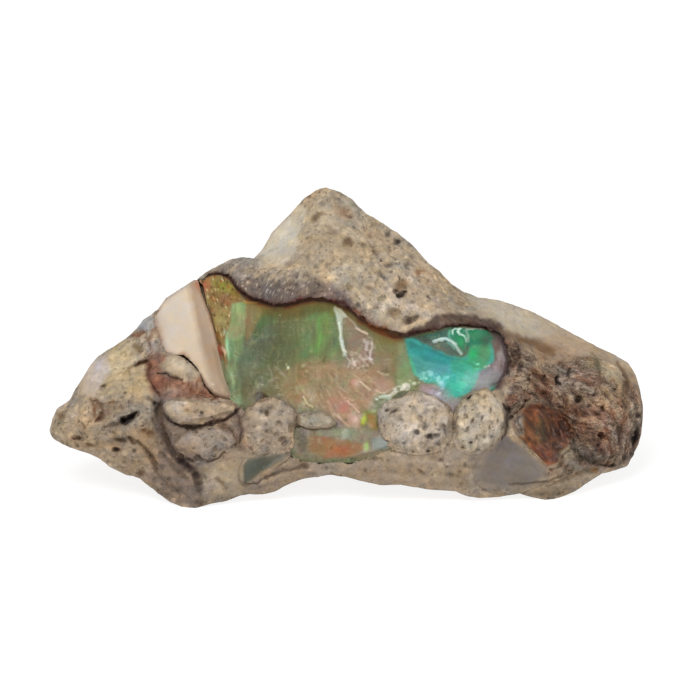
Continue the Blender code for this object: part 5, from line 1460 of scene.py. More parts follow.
    # hackly light marks of the mauve area: whitish fracture marks, partly painted highlights
    spark = lattice(at / 0.17, 264) + 0.5 * lattice(at / 0.34, 282)
    hackly = smooth(inside(c.u, c.v, ((363, 336), (372, 337), (376, 350), (375, 364), (366, 370), (350, 370), (344, 362),
        (348, 352), (360, 354))), -1.5, 2.5)
    c.lay(hackly * smooth(spark, 0.25, 0.75), (214, 198, 184), 0.65)
    c.lay(hackly * smooth(-spark, 0.35, 0.85), (118, 94, 80), 0.5)
    # the white ridge and the bright strokes along it and beside it: whitish fracture and painted highlights on the
    # ridge and its hackles
    c.patch(WHITE_RIDGE, (208, 216, 198), 0.9, 0.85)
    for points, wide, colour, strength in (
        (((335, 307), (340, 309), (346, 316)), 2.6, (224, 226, 212), 0.9),
        (((339, 322), (340, 330), (341.5, 340), (344, 350)), 2.0, (226, 238, 222), 0.9),
        (((346, 318), (345, 322), (341, 324)), 1.6, (172, 168, 150), 0.7),
        (((349, 318), (353, 322), (356, 327)), 1.9, (200, 184, 162), 0.8),
        (((356, 328), (361, 331), (367, 334)), 2.4, (230, 208, 192), 0.9),
        (((344, 349), (345.5, 351)), 2.6, (236, 234, 216), 0.85), (((347, 358), (350, 362), (348, 367)), 1.8, (198, 190, 172), 0.7),
        (((353, 362), (355, 366)), 2.6, (226, 206, 196), 0.85), (((360, 356), (364, 360), (368, 366)), 1.8, (206, 188, 172), 0.7),
        (((351, 351), (356, 353)), 1.8, (196, 178, 160), 0.7), (((364, 341), (368, 344), (366, 350)), 1.6, (206, 190, 176), 0.75),
        (((371, 342), (372, 348), (369, 352), (370, 358)), 1.8, (212, 196, 182), 0.8), (((369.5, 358.5), (370.5, 359.5)), 2.0, (240, 232, 222), 0.85),
        (((364, 353), (367, 356), (365, 360)), 1.4, (196, 178, 162), 0.6),
        # curls in the teal lobe: painted highlights on its shell-like ripples
        (((434, 341.5), (438, 340), (443, 339.5)), 3.4, (210, 226, 216), 0.95),
        (((441, 339), (447, 338.5), (452, 341), (455, 345)), 2.6, (208, 236, 224), 0.95),
        (((455, 344), (458, 349), (461, 354)), 2.4, (190, 212, 196), 0.9),
        (((448, 342), (452, 345), (455, 349)), 1.6, (120, 196, 168), 0.7),
        (((453, 333), (453, 329.5), (456, 328), (461, 328.5)), 1.7, (214, 240, 222), 0.95),
        (((461, 328.5), (458.5, 331), (460, 334), (464, 336)), 1.9, (206, 234, 216), 0.95),
        (((464, 336), (466, 339), (466.5, 342)), 1.7, (176, 214, 190), 0.85),
        (((466, 331), (468, 335), (468, 341)), 2.6, (150, 176, 156), 0.8),
        (((449, 330), (449, 334), (450, 338)), 1.4, (120, 206, 172), 0.6),
        (((404, 339), (412, 340), (420, 344)), 1.4, (86, 190, 174), 0.5),
        (((496, 329.5), (486, 329), (474, 328.5), (466, 329)), 1.5, (196, 206, 190), 0.7),
    ):
        c.stroke(points, wide, colour, 0.7, strength, False)
    # light spots; the cyan-white ones at the lower left of the teal lobe are painted highlights
    for cu, cv, ru, rv, colour, turn, strength in (
        (287.5, 368, 1.1, 2.0, (244, 244, 206), 0, 1.0), (286, 365, 0.9, 1.2, (198, 192, 148), 0, 0.8),
        (280, 315, 1.4, 1.2, (178, 186, 142), 0, 0.8), (303.5, 366, 1.8, 2.0, (176, 178, 132), 20, 0.8), (306, 371, 1.8, 1.2, (168, 168, 120), 30, 0.7),
        (317, 371, 1.8, 1.2, (182, 168, 122), -30, 0.7), (311, 378, 1.4, 1.0, (186, 164, 122), 0, 0.7), (305, 376, 1.4, 1.0, (172, 156, 108), 0, 0.7),
        (477, 364, 2.4, 1.2, (140, 230, 192), 0, 0.95), (478, 369, 2.6, 1.0, (88, 206, 150), 5, 0.85), (473, 362, 1.4, 1.0, (92, 206, 160), 0, 0.7),
        (486, 366.5, 2.2, 1.2, (176, 196, 172), 0, 0.8), (489.5, 366, 0.9, 1.4, (226, 218, 198), 0, 0.85),
        (424, 374, 3.0, 1.8, (140, 222, 216), -20, 0.85), (431, 374.5, 2.4, 2.0, (160, 228, 222), 0, 0.8), (422, 379, 3.0, 1.4, (130, 214, 210), -20, 0.75),
        (429, 372, 2.0, 1.2, (190, 238, 230), 0, 0.75), (433, 373, 1.0, 1.6, (180, 226, 214), 0, 0.7), (425, 377.5, 2.4, 1.2, (170, 232, 226), -15, 0.7),
        (438, 379, 2.4, 2.6, (152, 226, 222), 0, 0.85), (446, 378, 2.6, 2.0, (140, 228, 224), 0, 0.85), (441, 383, 3.6, 3.0, (176, 226, 230), 0, 0.9),
        (448.5, 377, 1.0, 1.6, (168, 236, 230), 0, 0.7), (434, 378, 1.6, 2.2, (128, 206, 206), 0, 0.7), (443, 388, 2.6, 2.4, (166, 196, 204), 0, 0.7),
        (453, 375, 3.0, 1.6, (96, 200, 184), -30, 0.6), (439, 393.5, 2.6, 1.8, (200, 200, 188), -20, 0.85), (437, 401, 3.4, 1.8, (206, 186, 188), 0, 0.85),
        (433, 388, 5.0, 1.0, (118, 104, 104), 10, 0.5), (414, 384, 2.6, 1.8, (218, 224, 198), 10, 0.9), (410, 381, 1.4, 1.2, (196, 206, 168), 0, 0.7),
        (419, 383, 1.6, 1.0, (206, 212, 186), 0, 0.75), (424, 381, 2.0, 1.0, (150, 196, 176), 0, 0.6),
    ):
        c.blob(cu, cv, ru, rv, colour, turn, strength, 1.5)
    # painted glints: a sparkle of cyan-white and teal over the lower left of the teal lobe
    glints = lattice(at / 0.12, 265)
    c.lay(blob(c.u, c.v, 434, 378, 16, 6.5, 8, 2.0) * smooth(glints, 0.2, 0.65), (196, 240, 236), 0.5)
    c.lay(blob(c.u, c.v, 434, 378, 16, 6.5, 8, 2.0) * smooth(-glints, 0.35, 0.8), (84, 170, 168), 0.5)
    waves = lattice(np.stack([(u + 0.5 * v) / 16, (v - 0.4 * u) / 2.2, np.zeros_like(u)], -1), 283)
    c.rgb *= (1 + 0.07 * waves * smooth(inside(c.u, c.v, TEAL), -2, 4))[:, None]
    # light specks along the left border and low down, bluish dust in the dark green
    dust = cells(at, 0.19, 266)
    spot = 1 - smooth(dust[0], 0.14, 0.40)
    c.lay(blob(c.u, c.v, 254, 354, 15, 15, 10, 2.0) * spot * (dust[2] > 0.62), (142, 152, 138), 0.65)
    c.lay(blob(c.u, c.v, 276, 330, 26, 24, 0, 2.0) * spot * (dust[2] < 0.12), (144, 150, 106), 0.6)
    c.lay(blob(c.u, c.v, 284, 384, 24, 16, 0, 2.0) * spot * (dust[2] > 0.70), (180, 168, 124), 0.65)
    c.lay(blob(c.u, c.v, 284, 384, 24, 16, 0, 2.0) * spot * (dust[2] < 0.16), (88, 80, 48), 0.6)
    border = np.exp(-((to_line(c.u, c.v, ((226, 330), (227, 350), (230, 372), (235, 392), (238, 402)))[0] / 5.0) ** 2))
    c.lay(border * spot * (dust[2] > 0.52), (186, 206, 154), 0.85)
    c.lay(border * spot * (dust[2] < 0.22), (86, 116, 74), 0.7)
    c.lay(np.exp(-((to_line(c.u, c.v, ((231, 305), (231, 320), (228, 330)))[0] / 3.0) ** 2)) * spot * (dust[2] > 0.5), (178, 184, 132), 0.7)
    # rust, gold and cream grains of the contact with the cream opal
    mask = smooth(inside(c.u, c.v, GRITTY), -1.0, 1.5)
    c.lay(mask, (152, 128, 76), 0.97)
    c.lay(mask * blob(c.u, c.v, 224, 286, 11, 6, 12, 1.6), (146, 142, 54), 0.9)
    c.lay(mask * blob(c.u, c.v, 222, 320, 6, 11, 8, 1.5), (166, 154, 98), 0.85)
    c.lay(mask * blob(c.u, c.v, 204, 286, 6, 8, 10, 1.4), (176, 104, 70), 0.9)
    c.lay(mask * blob(c.u, c.v, 214, 297, 6, 6, 0, 1.4), (132, 100, 52), 0.6)
    c.lay(mask * blob(c.u, c.v, 226, 300, 7, 6, 0, 1.4), (156, 104, 72), 0.7)
    c.lay(mask * blob(c.u, c.v, 236, 294, 6, 5, 40, 1.4), (128, 106, 40), 0.8)
    c.lay(mask * blob(c.u, c.v, 217, 336, 4, 7, 0, 1.4), (134, 96, 40), 0.9)
    c.lay(mask * blob(c.u, c.v, 220, 350, 4, 7, -20, 1.4), (150, 70, 44), 0.95)
    c.lay(mask * blob(c.u, c.v, 225, 362, 3, 5, 0, 1.4), (132, 96, 40), 0.9)
    grain_at = np.stack([u, v / 1.5, np.zeros_like(u)], -1) * UNIT
    speck = cells(grain_at + 0.06 * lattice(at / 0.2, 268)[:, None], 0.20, 269)
    round_speck = 1 - smooth(speck[0], 0.26, 0.55)
    smoother = 1 - 0.75 * blob(c.u, c.v, 221, 320, 6, 9, 8, 2.0)
    for low, high, colour, strength in (
        (0.80, 1.0, (220, 200, 156), 0.85), (0.62, 0.78, (172, 88, 52), 0.85), (0.0, 0.16, (82, 54, 28), 0.85),
        (0.30, 0.42, (112, 78, 36), 0.7), (0.50, 0.56, (196, 150, 110), 0.8),
    ):
        c.lay(mask * smoother * round_speck * (speck[2] > low) * (speck[2] <= high), colour, strength)
    c.stroke(((209, 306), (211, 314), (213, 324), (214, 332)), 2.6, (92, 70, 44), 1.0, 0.75, False)
    c.stroke(((225, 330), (224, 333), (223, 334)), 1.6, (226, 226, 184), 0.6, 0.9, False)
    c.stroke(((223, 348), (225, 351)), 2.4, (222, 190, 164), 0.7, 0.85, False)
    c.stroke(((217, 344), (219, 352), (222, 358)), 3.0, (142, 58, 38), 1.0, 0.8)
    # whitish crust beside the middle clast
    bead = lattice(at / 0.17, 270)
    for points, wide, colour in (
        (((378, 398), (384, 396.5), (390, 397.5)), 4.6, (196, 208, 184)), (((390, 396), (395, 393), (399, 390)), 3.4, (212, 208, 190)),
        (((397, 390), (402, 388), (407, 387)), 6.5, (226, 222, 206)),
    ):
        apart = to_line(c.u, c.v, points)[0]
        c.lay((1 - smooth(apart - wide / 2, -1.0, 1.0)) * smooth(bead, -0.9, -0.1), colour, 0.92)
    c.blob(384, 402, 6, 3.5, (176, 180, 152), -20, 0.8)
    c.lay(np.exp(-((to_line(c.u, c.v, ((396, 398), (402, 395), (408, 392)))[0] / 1.4) ** 2)), (96, 100, 84), 0.7)
    # the glow and the shade under the rim
    rim = to_line(u, v, RIM_LINE)[0]
    under = smooth(c.u, 236, 250) * (1 - smooth(c.u, 396, 410))
    c.lay(np.exp(-((rim / 7.0) ** 2)) * under, (112, 88, 34), 0.75)
    c.lay(np.exp(-(((rim - 2.6) / 1.8) ** 2)) * under * smooth(cloudy(at, 1.0, 2, 284), -0.6, 0.3), (116, 58, 20), 0.75)
    c.lay(np.exp(-((rim / 1.8) ** 2)), (64, 34, 26), 0.9)
    c.stroke(((368, 325), (378, 330), (390, 336), (400, 337.5)), 4.0, (124, 66, 20), 1.4, 0.85)
    c.stroke(((386, 334), (394, 337), (402, 338)), 2.2, (74, 40, 16), 1.0, 0.8)
    c.stroke(((241, 301.5), (250, 302.5), (258, 303)), 2.2, (170, 132, 62), 0.9, 0.75)
    right_rim = to_line(u, v, ((494, 333), (500, 338), (505, 347), (507, 360), (505, 374), (500, 386)))[0]
    c.lay(np.exp(-((right_rim / 4.0) ** 2)), (74, 56, 56), 0.85)
    return c.linear()


def build_opal():
    grow = 4.0
    upper_line = [(199, 281)] + [(u, v - grow) for u, v in SEAM_TOP] + [(513, 360)]
    lower_line = [(199, 281)] + [(u, v + grow) for u, v in SEAM_BOTTOM] + [(513, 360)]
    u, v, near, faces = section_grid(edge(upper_line), edge(lower_line), (199, 281), (513, 360), 330, 190, 20, 0.85)
    depth = front(u, v) + recess(u, v)
    face = depth + opal_front(u, v)
    depth = np.where(near, face, face + 0.4 + 1.7 * seam_swell(u, v))
    points = place(u, v, depth)
    gritty = np.maximum(1 - smooth(inside(u, v, SEAM), 1.0, 5.0), smooth(inside(u, v, GRITTY), -3, 3))
    extra = {"grit": gritty, "fibre": np.zeros(len(u)), "gloss": 1 - 0.85 * gritty}
    return points, facing_out(points, faces), paint_opal(u, v, points), extra


def build_potch():
    upper_line = [(153.5, 315), (166, 298), (180, 289), (194, 280), (198, 280), (201, 292), (205, 302), (209, 312),
        (213, 326), (217, 340), (221, 352), (225, 364), (228, 378), (232, 390), (240, 403)]
    lower_line = [(153.5, 315), (156, 328), (160, 340), (161, 353), (172, 355), (184, 355), (192, 362), (198, 369), (202, 378),
        (206, 387), (214, 395), (224, 399), (240, 403)]
    u, v, near, faces = section_grid(edge(upper_line), edge(lower_line), (153.5, 315), (240, 403), 124, 96, 14, 0.85)
    at = np.stack([u, v, np.zeros_like(u)], -1) * UNIT
    across = u - 0.30 * (v - 300)
    ridges = 0.5 * np.sin(across / 4.2) + 0.35 * np.sin(across / 2.3 + 1.0) + 0.4 * lattice(
        np.stack([across / 2.2, v / 60, 0 * u], -1), 301
    )
    sky = to_line(u, v, TOP)[0]
    rim = np.minimum(to_line(u, v, upper_line)[0], to_line(u, v, lower_line)[0])
    body = (
        front(u, v) - 0.06 + 0.30 * np.exp(-((sky / 2.6) ** 2)) + 0.15 * np.exp(-((rim / 1.8) ** 2))
        + 0.45 * smooth(inside(u, v, POTCH), 3, -6) * smooth(v, 340, 352) + 0.012 * ridges
        + 0.04 * cloudy(at, 1.8, 3, 302)
    )
    depth = np.where(near, body, body + 0.03 + 0.85 * smooth(rim, 0, 8))
    points = place(u, v, depth)
    c = Canvas(u, v, points, 0.8, 320)
    c.rgb[:] = (208, 190, 168)
    c.blob(174, 316, 15, 24, (213, 199, 181), 20, 0.8)
    c.blob(160, 322, 7, 12, (196, 176, 156), 0, 0.5)
    c.blob(190, 348, 12, 20, (206, 186, 162), -15, 0.6)
    c.patch(((189, 282), (200, 278), (207, 300), (212, 320), (218, 346), (224, 374), (240, 404), (214, 394), (204, 352),
        (196, 318)), (168, 144, 120), 6, 0.85)
    c.blob(212, 356, 7, 22, (160, 134, 110), -12, 0.7)
    c.blob(204, 330, 5, 16, (170, 146, 128), -10, 0.5)
    c.blob(196, 368, 8, 8, (176, 154, 130), 0, 0.4)
    c.blob(222, 388, 10, 9, (170, 146, 122), -20, 0.7)
    c.stroke(((192, 284), (196, 304), (200, 322), (206, 346), (214, 372)), 3.6, (160, 134, 106), 2.5, 0.5)
    c.stroke(((188, 286), (191, 304), (195, 322), (200, 344)), 3.0, (192, 168, 142), 2.0, 0.5)
    c.rgb *= (1 + 0.012 * ridges)[:, None]
    c.rgb *= (1 + 0.015 * cloudy(at, 0.9, 3, 303))[:, None]
    speck = cells(at + 0.05 * lattice(at / 0.2, 268)[:, None], 0.24, 269)
    contact = to_line(c.u, c.v, upper_line[5:12])[0]
    c.lay(np.exp(-((contact / 1.6) ** 2)), (134, 98, 70), 0.7)
    c.lay(np.exp(-((contact / 3.0) ** 2)) * (speck[2] > 0.7) * (1 - smooth(speck[0], 0.2, 0.5)), (150, 92, 60), 0.7)
    c.blob(198, 285, 4, 6, (176, 108, 76), -10, 0.8)
    c.blob(213, 384, 1.4, 1.2, (226, 214, 196), 0, 0.7)
    c.blob(209, 386, 1.0, 1.0, (222, 208, 190), 0, 0.7)
    low = to_line(c.u, c.v, lower_line[1:])[0]
    c.lay(np.exp(-((low / 3.0) ** 2)) * smooth(cloudy(points, 0.9, 2, 304), -0.9, 0.6), (150, 112, 90), 0.65)
    c.lay(smooth(c.v, 388, 400), (172, 148, 126), 0.6)
    c.lay(np.exp(-((to_line(c.u, c.v, ((154, 316), (166, 299), (180, 290), (196, 280)))[0] / 1.4) ** 2)), (172, 156, 140), 0.4)
    c.lay(np.exp(-((to_line(c.u, c.v, ((155, 314), (158, 330), (163, 346), (168, 355)))[0] / 3.0) ** 2)), (172, 144, 122), 0.6)
    tone, _ = grain_tone(points, np.zeros(len(u)))
    c.rgb *= (1 + (tone - 1) * smooth(c.v, 380, 396))[:, None]
    rough = np.clip(np.exp(-((rim / 2.5) ** 2)) + smooth(v, 384, 398), 0, 1)
    extra = {"grit": 0.9 * rough, "fibre": np.zeros(len(u)), "gloss": 0.8 * (1 - rough)}
    return points, facing_out(points, faces), c.linear(), extra


CLAST_TONES = {
    "clast_centre_left": (168, 150, 130), "clast_small": (160, 148, 130), "clast_centre": (178, 162, 142),
    "clast_right": (184, 169, 145), "clast_upper_left": (166, 147, 124), "clast_lower_left": (152, 136, 122),
}


STANDS = {  # how far the set-in stones stand out of the face, in mm
    "clast_centre_left": 0.34, "clast_small": 0.22, "clast_centre": 0.36, "clast_right": 0.52, "clast_upper_left": 0.46,
    "clast_lower_left": 0.30, "lower_opal": 0.0, "lilac_opal": 0.04, "iron_opal": 0.12,
}


def set_in(name, fineness, grow, bed):
    """A piece that lies in the rock's face: its drawing places, points, faces and masks."""
    outline = SEEN[name]
    u, v, dome, near, faces = ball_grid(outline, fineness, grow)
    within = inside(u, v, outline)
    middle = np.array(outline, float)[:, 1].mean()
    below = smooth(v, middle, middle + 12)
    bare = smooth(inside(u, v, OPAL_SEEN), -6.0, -2.0)
    face = bare_front(u, v) - 0.05 - STANDS[name] * smooth(within, -1.0, 3.5 + 5.5 * below) * (0.8 + 0.2 * dome)
    face += 0.55 * bare * (1 - smooth(within, -1.5, 2.2)) ** 1.5
    at = np.stack([u, v, np.zeros_like(u)], -1)
    face += (0.10 * lattice(at / 13.0 + 3.3, 401) + 0.06 * lattice(at / 6.0 + 7.1, 402)) * smooth(within, 0, 6) * (STANDS[name] > 0.15)
    return u, v, dome, near, faces, within, below, face


def build_clast(name):
    outline = SEEN[name]
    u, v, dome, near, faces, within, below, face = set_in(name, 5 if name == "clast_small" else 6, 1.5, 1.0)
    span = np.ptp(np.array(outline), axis=0).min() * UNIT
    depth = np.where(near, face, face + 0.02 + 0.6 * span * dome)
    points = place(u, v, depth)
    faces = facing_out(points, faces)
    normal = normals_of(points, faces)
    m = front_masks(u, v, points)
    soft = smooth(within, 0, 5)
    m["fibrous"] *= 1 - soft
    m["calm"] = m["calm"] * (1 - soft) + 0.10 * soft
    points += normal * (rock_push(points, m) * near * smooth(dome, 0.0, 0.12))[:, None]
    c = Canvas(u, v, points, 1.3)
    paint_ground(c, points, m)
    within = inside(c.u, c.v, outline)
    own = np.clip(smooth(within, -2.0, 1.5) * (1 - below) + smooth(within, -1.0, 7.0) * below, 0, 1)
    ground = c.rgb.copy()
    tone = CLAST_TONES[name]
    c.rgb[:] = tone
    # lighter upper parts and darker lower parts and lower edges of each clast: the stone's own mottling together with
    # painted light from above and painted shade below
    if name == "clast_upper_left":
        c.blob(176, 408, 12, 8, (174, 158, 138), 0, 0.6)
        c.blob(196, 411, 16, 8, (160, 138, 108), 0, 0.6)
        c.blob(222, 408, 12, 8, (166, 148, 126), 0, 0.6)
        c.blob(205, 419, 26, 3.5, (146, 126, 108), 0, 0.6)
    if name == "clast_lower_left":
        c.blob(215, 440, 16, 8, (158, 142, 126), 0, 0.6)
        c.blob(186, 448, 12, 8, (140, 122, 108), 0, 0.6)
        c.blob(226, 446, 6, 8, (142, 126, 112), 0, 0.6)
    if name == "clast_centre_left":
        c.blob(266, 410, 24, 9, (174, 156, 134), 0, 0.6)
        c.blob(270, 442, 26, 8, (156, 139, 122), 0, 0.7)
        c.blob(290, 425, 5, 14, (160, 144, 126), 0, 0.5)
        c.blob(247, 430, 4, 16, (146, 128, 112), 0, 0.5)
        c.stroke(((246, 433), (262, 431), (280, 433), (295, 431)), 2.0, (132, 114, 98), 1.5, 0.6)
    if name == "clast_small":
        c.blob(318, 420, 12, 5, (158, 150, 130), 0, 0.6)
        c.blob(322, 416, 6, 3, (176, 160, 138), 0, 0.6)
        c.blob(312, 430, 14, 2.5, (110, 96, 78), 0, 0.8)
    if name == "clast_centre":
        c.blob(410, 408, 26, 9, (186, 170, 148), 0, 0.6)
        c.blob(415, 440, 30, 9, (166, 150, 132), 0, 0.6)
        c.blob(437, 444, 9, 8, (158, 142, 126), 0, 0.5)
        c.blob(385, 428, 5, 12, (160, 142, 122), 0, 0.5)
        c.stroke(((380, 408), (388, 401), (402, 395)), 3.0, (206, 194, 176), 1.5, 0.7)
    if name == "clast_right":
        c.blob(480, 408, 20, 14, (192, 177, 152), 0, 0.6)
        c.blob(478, 443, 20, 9, (174, 156, 130), 0, 0.6)
        c.blob(455, 425, 3.5, 20, (140, 122, 100), 0, 0.6)
        c.blob(480, 394, 18, 3.0, (170, 150, 124), 0, 0.6)
    c.rgb = ground + own[:, None] * (c.rgb - ground)
    lay_grain_and_pit_shade(c, points, m["calm"])
    paint_pocks_and_shade(c)
    if name in ("clast_right", "clast_centre"):
        marks = lattice(spread(points, 3.0, -68.0) / 0.20, 441)
        c.lay(smooth(marks, 0.45, 0.8) * smooth(dome, 0.1, 0.4), (120, 104, 86), 0.45)
        flecks = cells(points, 0.24, 442)
        c.lay((1 - smooth(flecks[0], 0.14, 0.36)) * (flecks[2] > 0.86), (84, 74, 66), 0.7)
        c.lay((1 - smooth(flecks[0], 0.14, 0.36)) * (flecks[2] < 0.16), (208, 196, 176), 0.6)
    # the contact with the rock above is darker in places: painted shade along the joint
    contact = (1 - smooth(within, -0.5, 2.4)) * (1 - below) * smooth(cloudy(points, 0.8, 2, 443), -0.7, 0.4)
    c.lay(contact * near, (112, 94, 78), 0.5)
    return points, faces, c.linear(), {"grit": 1 - m["calm"], "fibre": m["fibrous"], "gloss": np.zeros(len(u))}


def build_patch(name, bed, fineness=6, grow=3.0):
    outline = SEEN[name]
    u, v, dome, near, faces, within, below, face = set_in(name, fineness, grow, bed)
    at = np.stack([u, v, np.zeros_like(u)], -1) * UNIT
    deep = smooth(within, 0, 8)
    if name == "iron_opal":
        core = blob(u, v, 541, 430, 8, 14, 5, 1.6)
        grooves = np.abs(lattice(spread(place(u, v, face), 4.0, 80.0) / 0.30, 502))
        face += deep * ((0.10 * cloudy(at, 0.9, 3, 501) + 0.20 * grooves) * (1 - 0.5 * core) + 0.25)
    elif name == "lilac_opal":
        face += deep * (0.05 * cloudy(at, 1.6, 2, 503) + 0.012 * cloudy(at, 0.4, 2, 504))
    else:
        face += deep * 0.03 * cloudy(at, 1.2, 2, 505)
    depth = np.where(near, face, face + bed * dome + 0.02)
    points = place(u, v, depth)
    faces = facing_out(points, faces)
    normal = normals_of(points, faces)
    m = front_masks(u, v, points)
    points += normal * (rock_push(points, m) * near * smooth(dome, 0.0, 0.12) * (1 - 0.85 * deep))[:, None]
    c = Canvas(u, v, points, 1.3)
    paint_ground(c, points, m)
    lay_grain_and_pit_shade(c, points, m["calm"])
    paint_pocks_and_shade(c)
    ground = c.rgb.copy()
    if name == "lower_opal":
        c.rgb[:] = (92, 92, 78)
        c.blob(262, 466, 12, 8, (88, 92, 80), -20, 0.7)
        c.blob(251, 472, 6, 8, (82, 90, 82), 0, 0.6)
        c.blob(276, 458, 12, 4, (112, 106, 92), -10, 0.7)
        c.blob(256, 478, 8, 4, (104, 98, 82), -20, 0.6)
        c.rgb *= (1 + 0.07 * cloudy(at, 0.8, 3, 521) + 0.05 * lattice(at / 0.18, 526))[:, None]
        left = 1 - smooth(c.u, 246, 254)
        seen = smooth(within, -1.0, 2.0) * left + smooth(within, -1.0, 4.5) * (1 - left)
    elif name == "lilac_opal":
        c.rgb[:] = (126, 115, 107)
        c.blob(506, 446, 12, 10, (108, 96, 88), 40, 0.8)
        c.blob(520, 462, 14, 8, (128, 122, 120), 20, 0.8)
        c.blob(508, 468, 12, 9, (126, 118, 114), 0, 0.7)
        c.blob(492, 468, 9, 12, (120, 107, 97), 0, 0.7)
        c.blob(532, 464, 8, 7, (128, 116, 102), 30, 0.6)
        c.blob(515, 482, 20, 4, (126, 114, 100), 0, 0.6)
        c.blob(507, 464, 4, 12, (136, 132, 138), 25, 0.45)
        streaks = lattice(spread(points, 7.0, 8.0) / 0.35, 522)
        c.rgb *= (1 + 0.035 * streaks + 0.03 * lattice(points / 0.2, 527))[:, None]
        upper = 1 - smooth(c.v, 448, 470)
        seen = smooth(within, -1.5, 2.0) * upper + smooth(within, -2.0, 7.0) * (1 - upper)
    else:
        c.rgb[:] = (88, 56, 36)
        c.patch(((513, 424), (516, 415), (523, 410), (528, 416), (526, 430), (523, 438), (516, 434)), (136, 122, 106), 2.0, 0.95)
        c.blob(518, 424, 4, 6, (166, 158, 148), 30, 0.7)
        c.blob(519, 434, 6, 2.0, (186, 176, 164), 32, 0.6)
        c.patch(((524, 412), (534, 405), (537, 422), (534, 448), (527, 446), (524, 428)), (118, 66, 36), 2.5, 0.9)
        c.blob(528, 430, 3.2, 14, (136, 74, 38), 5, 0.6)
        c.blob(534, 412, 5, 7, (102, 48, 28), 20, 0.6)
        c.blob(542, 430, 6.5, 12, (84, 68, 34), 5, 0.9)
        c.blob(540, 424, 3, 6, (112, 98, 48), 10, 0.6)
        c.blob(538, 438, 2.4, 5, (120, 104, 62), 0, 0.5)
        c.blob(544, 436, 2.4, 4, (98, 92, 52), 0, 0.5)
        c.blob(552, 415, 10, 6, (84, 48, 30), 20, 0.75)
        c.blob(546, 408, 12, 4, (112, 76, 58), 20, 0.6)
        c.blob(560, 430, 9, 12, (58, 30, 20), 0, 0.95)
        c.blob(546, 454, 9, 8, (100, 54, 42), 20, 0.85)
        c.blob(536, 451, 6, 5, (116, 66, 50), 0, 0.6)
        c.blob(550, 463, 8, 2.6, (112, 62, 40), 0, 0.7)
        veins = np.abs(lattice(spread(points, 3.0, 62.0) / 0.34, 502))
        c.lay((1 - smooth(veins, 0.03, 0.18)) * (1 - 0.6 * blob(c.u, c.v, 560, 430, 8, 10)), (158, 96, 60), 0.5)
        c.lay(smooth(veins, 0.35, 0.7), (54, 30, 20), 0.45)
        c.rgb *= (1 + 0.22 * cloudy(at, 0.36, 3, 524))[:, None]
        dots = cells(at, 0.22, 525)
        c.lay((1 - smooth(dots[0], 0.12, 0.34)) * (dots[2] > 0.84) * (c.u > 522), (204, 160, 130), 0.65)
        seen = smooth(within, -1.5, 3.0)
    c.rgb = ground + seen[:, None] * (c.rgb - ground)
    extra = {"grit": (1 - m["calm"]) * (1 - seen) + 0.12 * seen, "fibre": m["fibrous"] * (1 - seen), "gloss": seen}
    if name == "iron_opal":
        extra["fibre"] = m["fibrous"] * (1 - 0.6 * seen)
    return points, faces, c.linear(), extra


# ---------------------------------------------------------------- materials
GAIN = 0.86  # how much of the painted brightness is the stone's own; the rest is the strength of the light


def node(tree, kind, at, **values):
    made = tree.nodes.new(kind)
    made.location = at
    for key, value in values.items():
        if key in made.inputs:
            made.inputs[key].default_value = value
        else:
            setattr(made, key, value)
    return made


def ranged(tree, value, low, high, at, start=0.3, end=0.7):
    made = node(tree, "ShaderNodeMapRange", at)
    tree.links.new(value, made.inputs["Value"])
    made.inputs["From Min"].default_value = start
    made.inputs["From Max"].default_value = end
    made.inputs["To Min"].default_value = low
    made.inputs["To Max"].default_value = high
    return made.outputs["Result"]


def times(tree, colour, factor, at):
    made = node(tree, "ShaderNodeVectorMath", at, operation="MULTIPLY")
    tree.links.new(colour, made.inputs[0])
    tree.links.new(factor, made.inputs[1])
    return made.outputs["Vector"]


def maths(tree, operation, a, b, at):
    made = node(tree, "ShaderNodeMath", at, operation=operation)
    for socket, value in zip(made.inputs, (a, b)):
        if isinstance(value, (int, float)):
            socket.default_value = value
        else:
            tree.links.new(value, socket)
    return made.outputs[0]


def specks(tree, where, size, radius, share, at):
    """A mask of small round spots: 1 in a spot. size is their spacing in mm, share how many of the places hold one."""
    spots = node(tree, "ShaderNodeTexVoronoi", at, Scale=1000 / size)
    tree.links.new(where, spots.inputs["Vector"])
    split = node(tree, "ShaderNodeSeparateColor", (at[0] + 200, at[1]))
    tree.links.new(spots.outputs["Color"], split.inputs[0])
    chosen = maths(tree, "LESS_THAN", split.outputs[0], share, (at[0] + 350, at[1]))
    round_one = ranged(tree, spots.outputs["Distance"], 1.0, 0.0, (at[0] + 350, at[1] - 150), radius * 0.5, radius)
    return maths(tree, "MULTIPLY", chosen, round_one, (at[0] + 500, at[1]))


def bent(tree, where, size, by, at):
    """Coordinates pushed about by noise, so that what is drawn with them is ragged. size and by are in mm."""
    push = node(tree, "ShaderNodeTexNoise", at, Scale=1000 / size, Detail=3.0)
    tree.links.new(where, push.inputs["Vector"])
    shift = node(tree, "ShaderNodeVectorMath", (at[0] + 200, at[1]), operation="MULTIPLY_ADD")
    shift.inputs[1].default_value = (by * 0.001,) * 3
    tree.links.new(push.outputs["Color"], shift.inputs[0])
    tree.links.new(where, shift.inputs[2])
    return shift.outputs["Vector"]


def cracks(tree, where, size, width, share, at):
    """Thin lines between broken fragments, 1 on a line. size and width are in mm; share is how much of them shows."""
    edges = node(tree, "ShaderNodeTexVoronoi", at, feature="DISTANCE_TO_EDGE", Scale=1000 / size)
    tree.links.new(where, edges.inputs["Vector"])
    line = ranged(tree, edges.outputs["Distance"], 1.0, 0.0, (at[0] + 200, at[1]), 0.25 * width / size, width / size)
    shown = node(tree, "ShaderNodeTexNoise", (at[0], at[1] - 250), Scale=1000 / (1.3 * size), Detail=1.0)
    tree.links.new(where, shown.inputs["Vector"])
    gate = ranged(tree, shown.outputs[0], 0.0, 1.0, (at[0] + 200, at[1] - 250), 0.60 - 0.25 * share, 0.72 - 0.25 * share)
    return maths(tree, "MULTIPLY", line, gate, (at[0] + 400, at[1]))


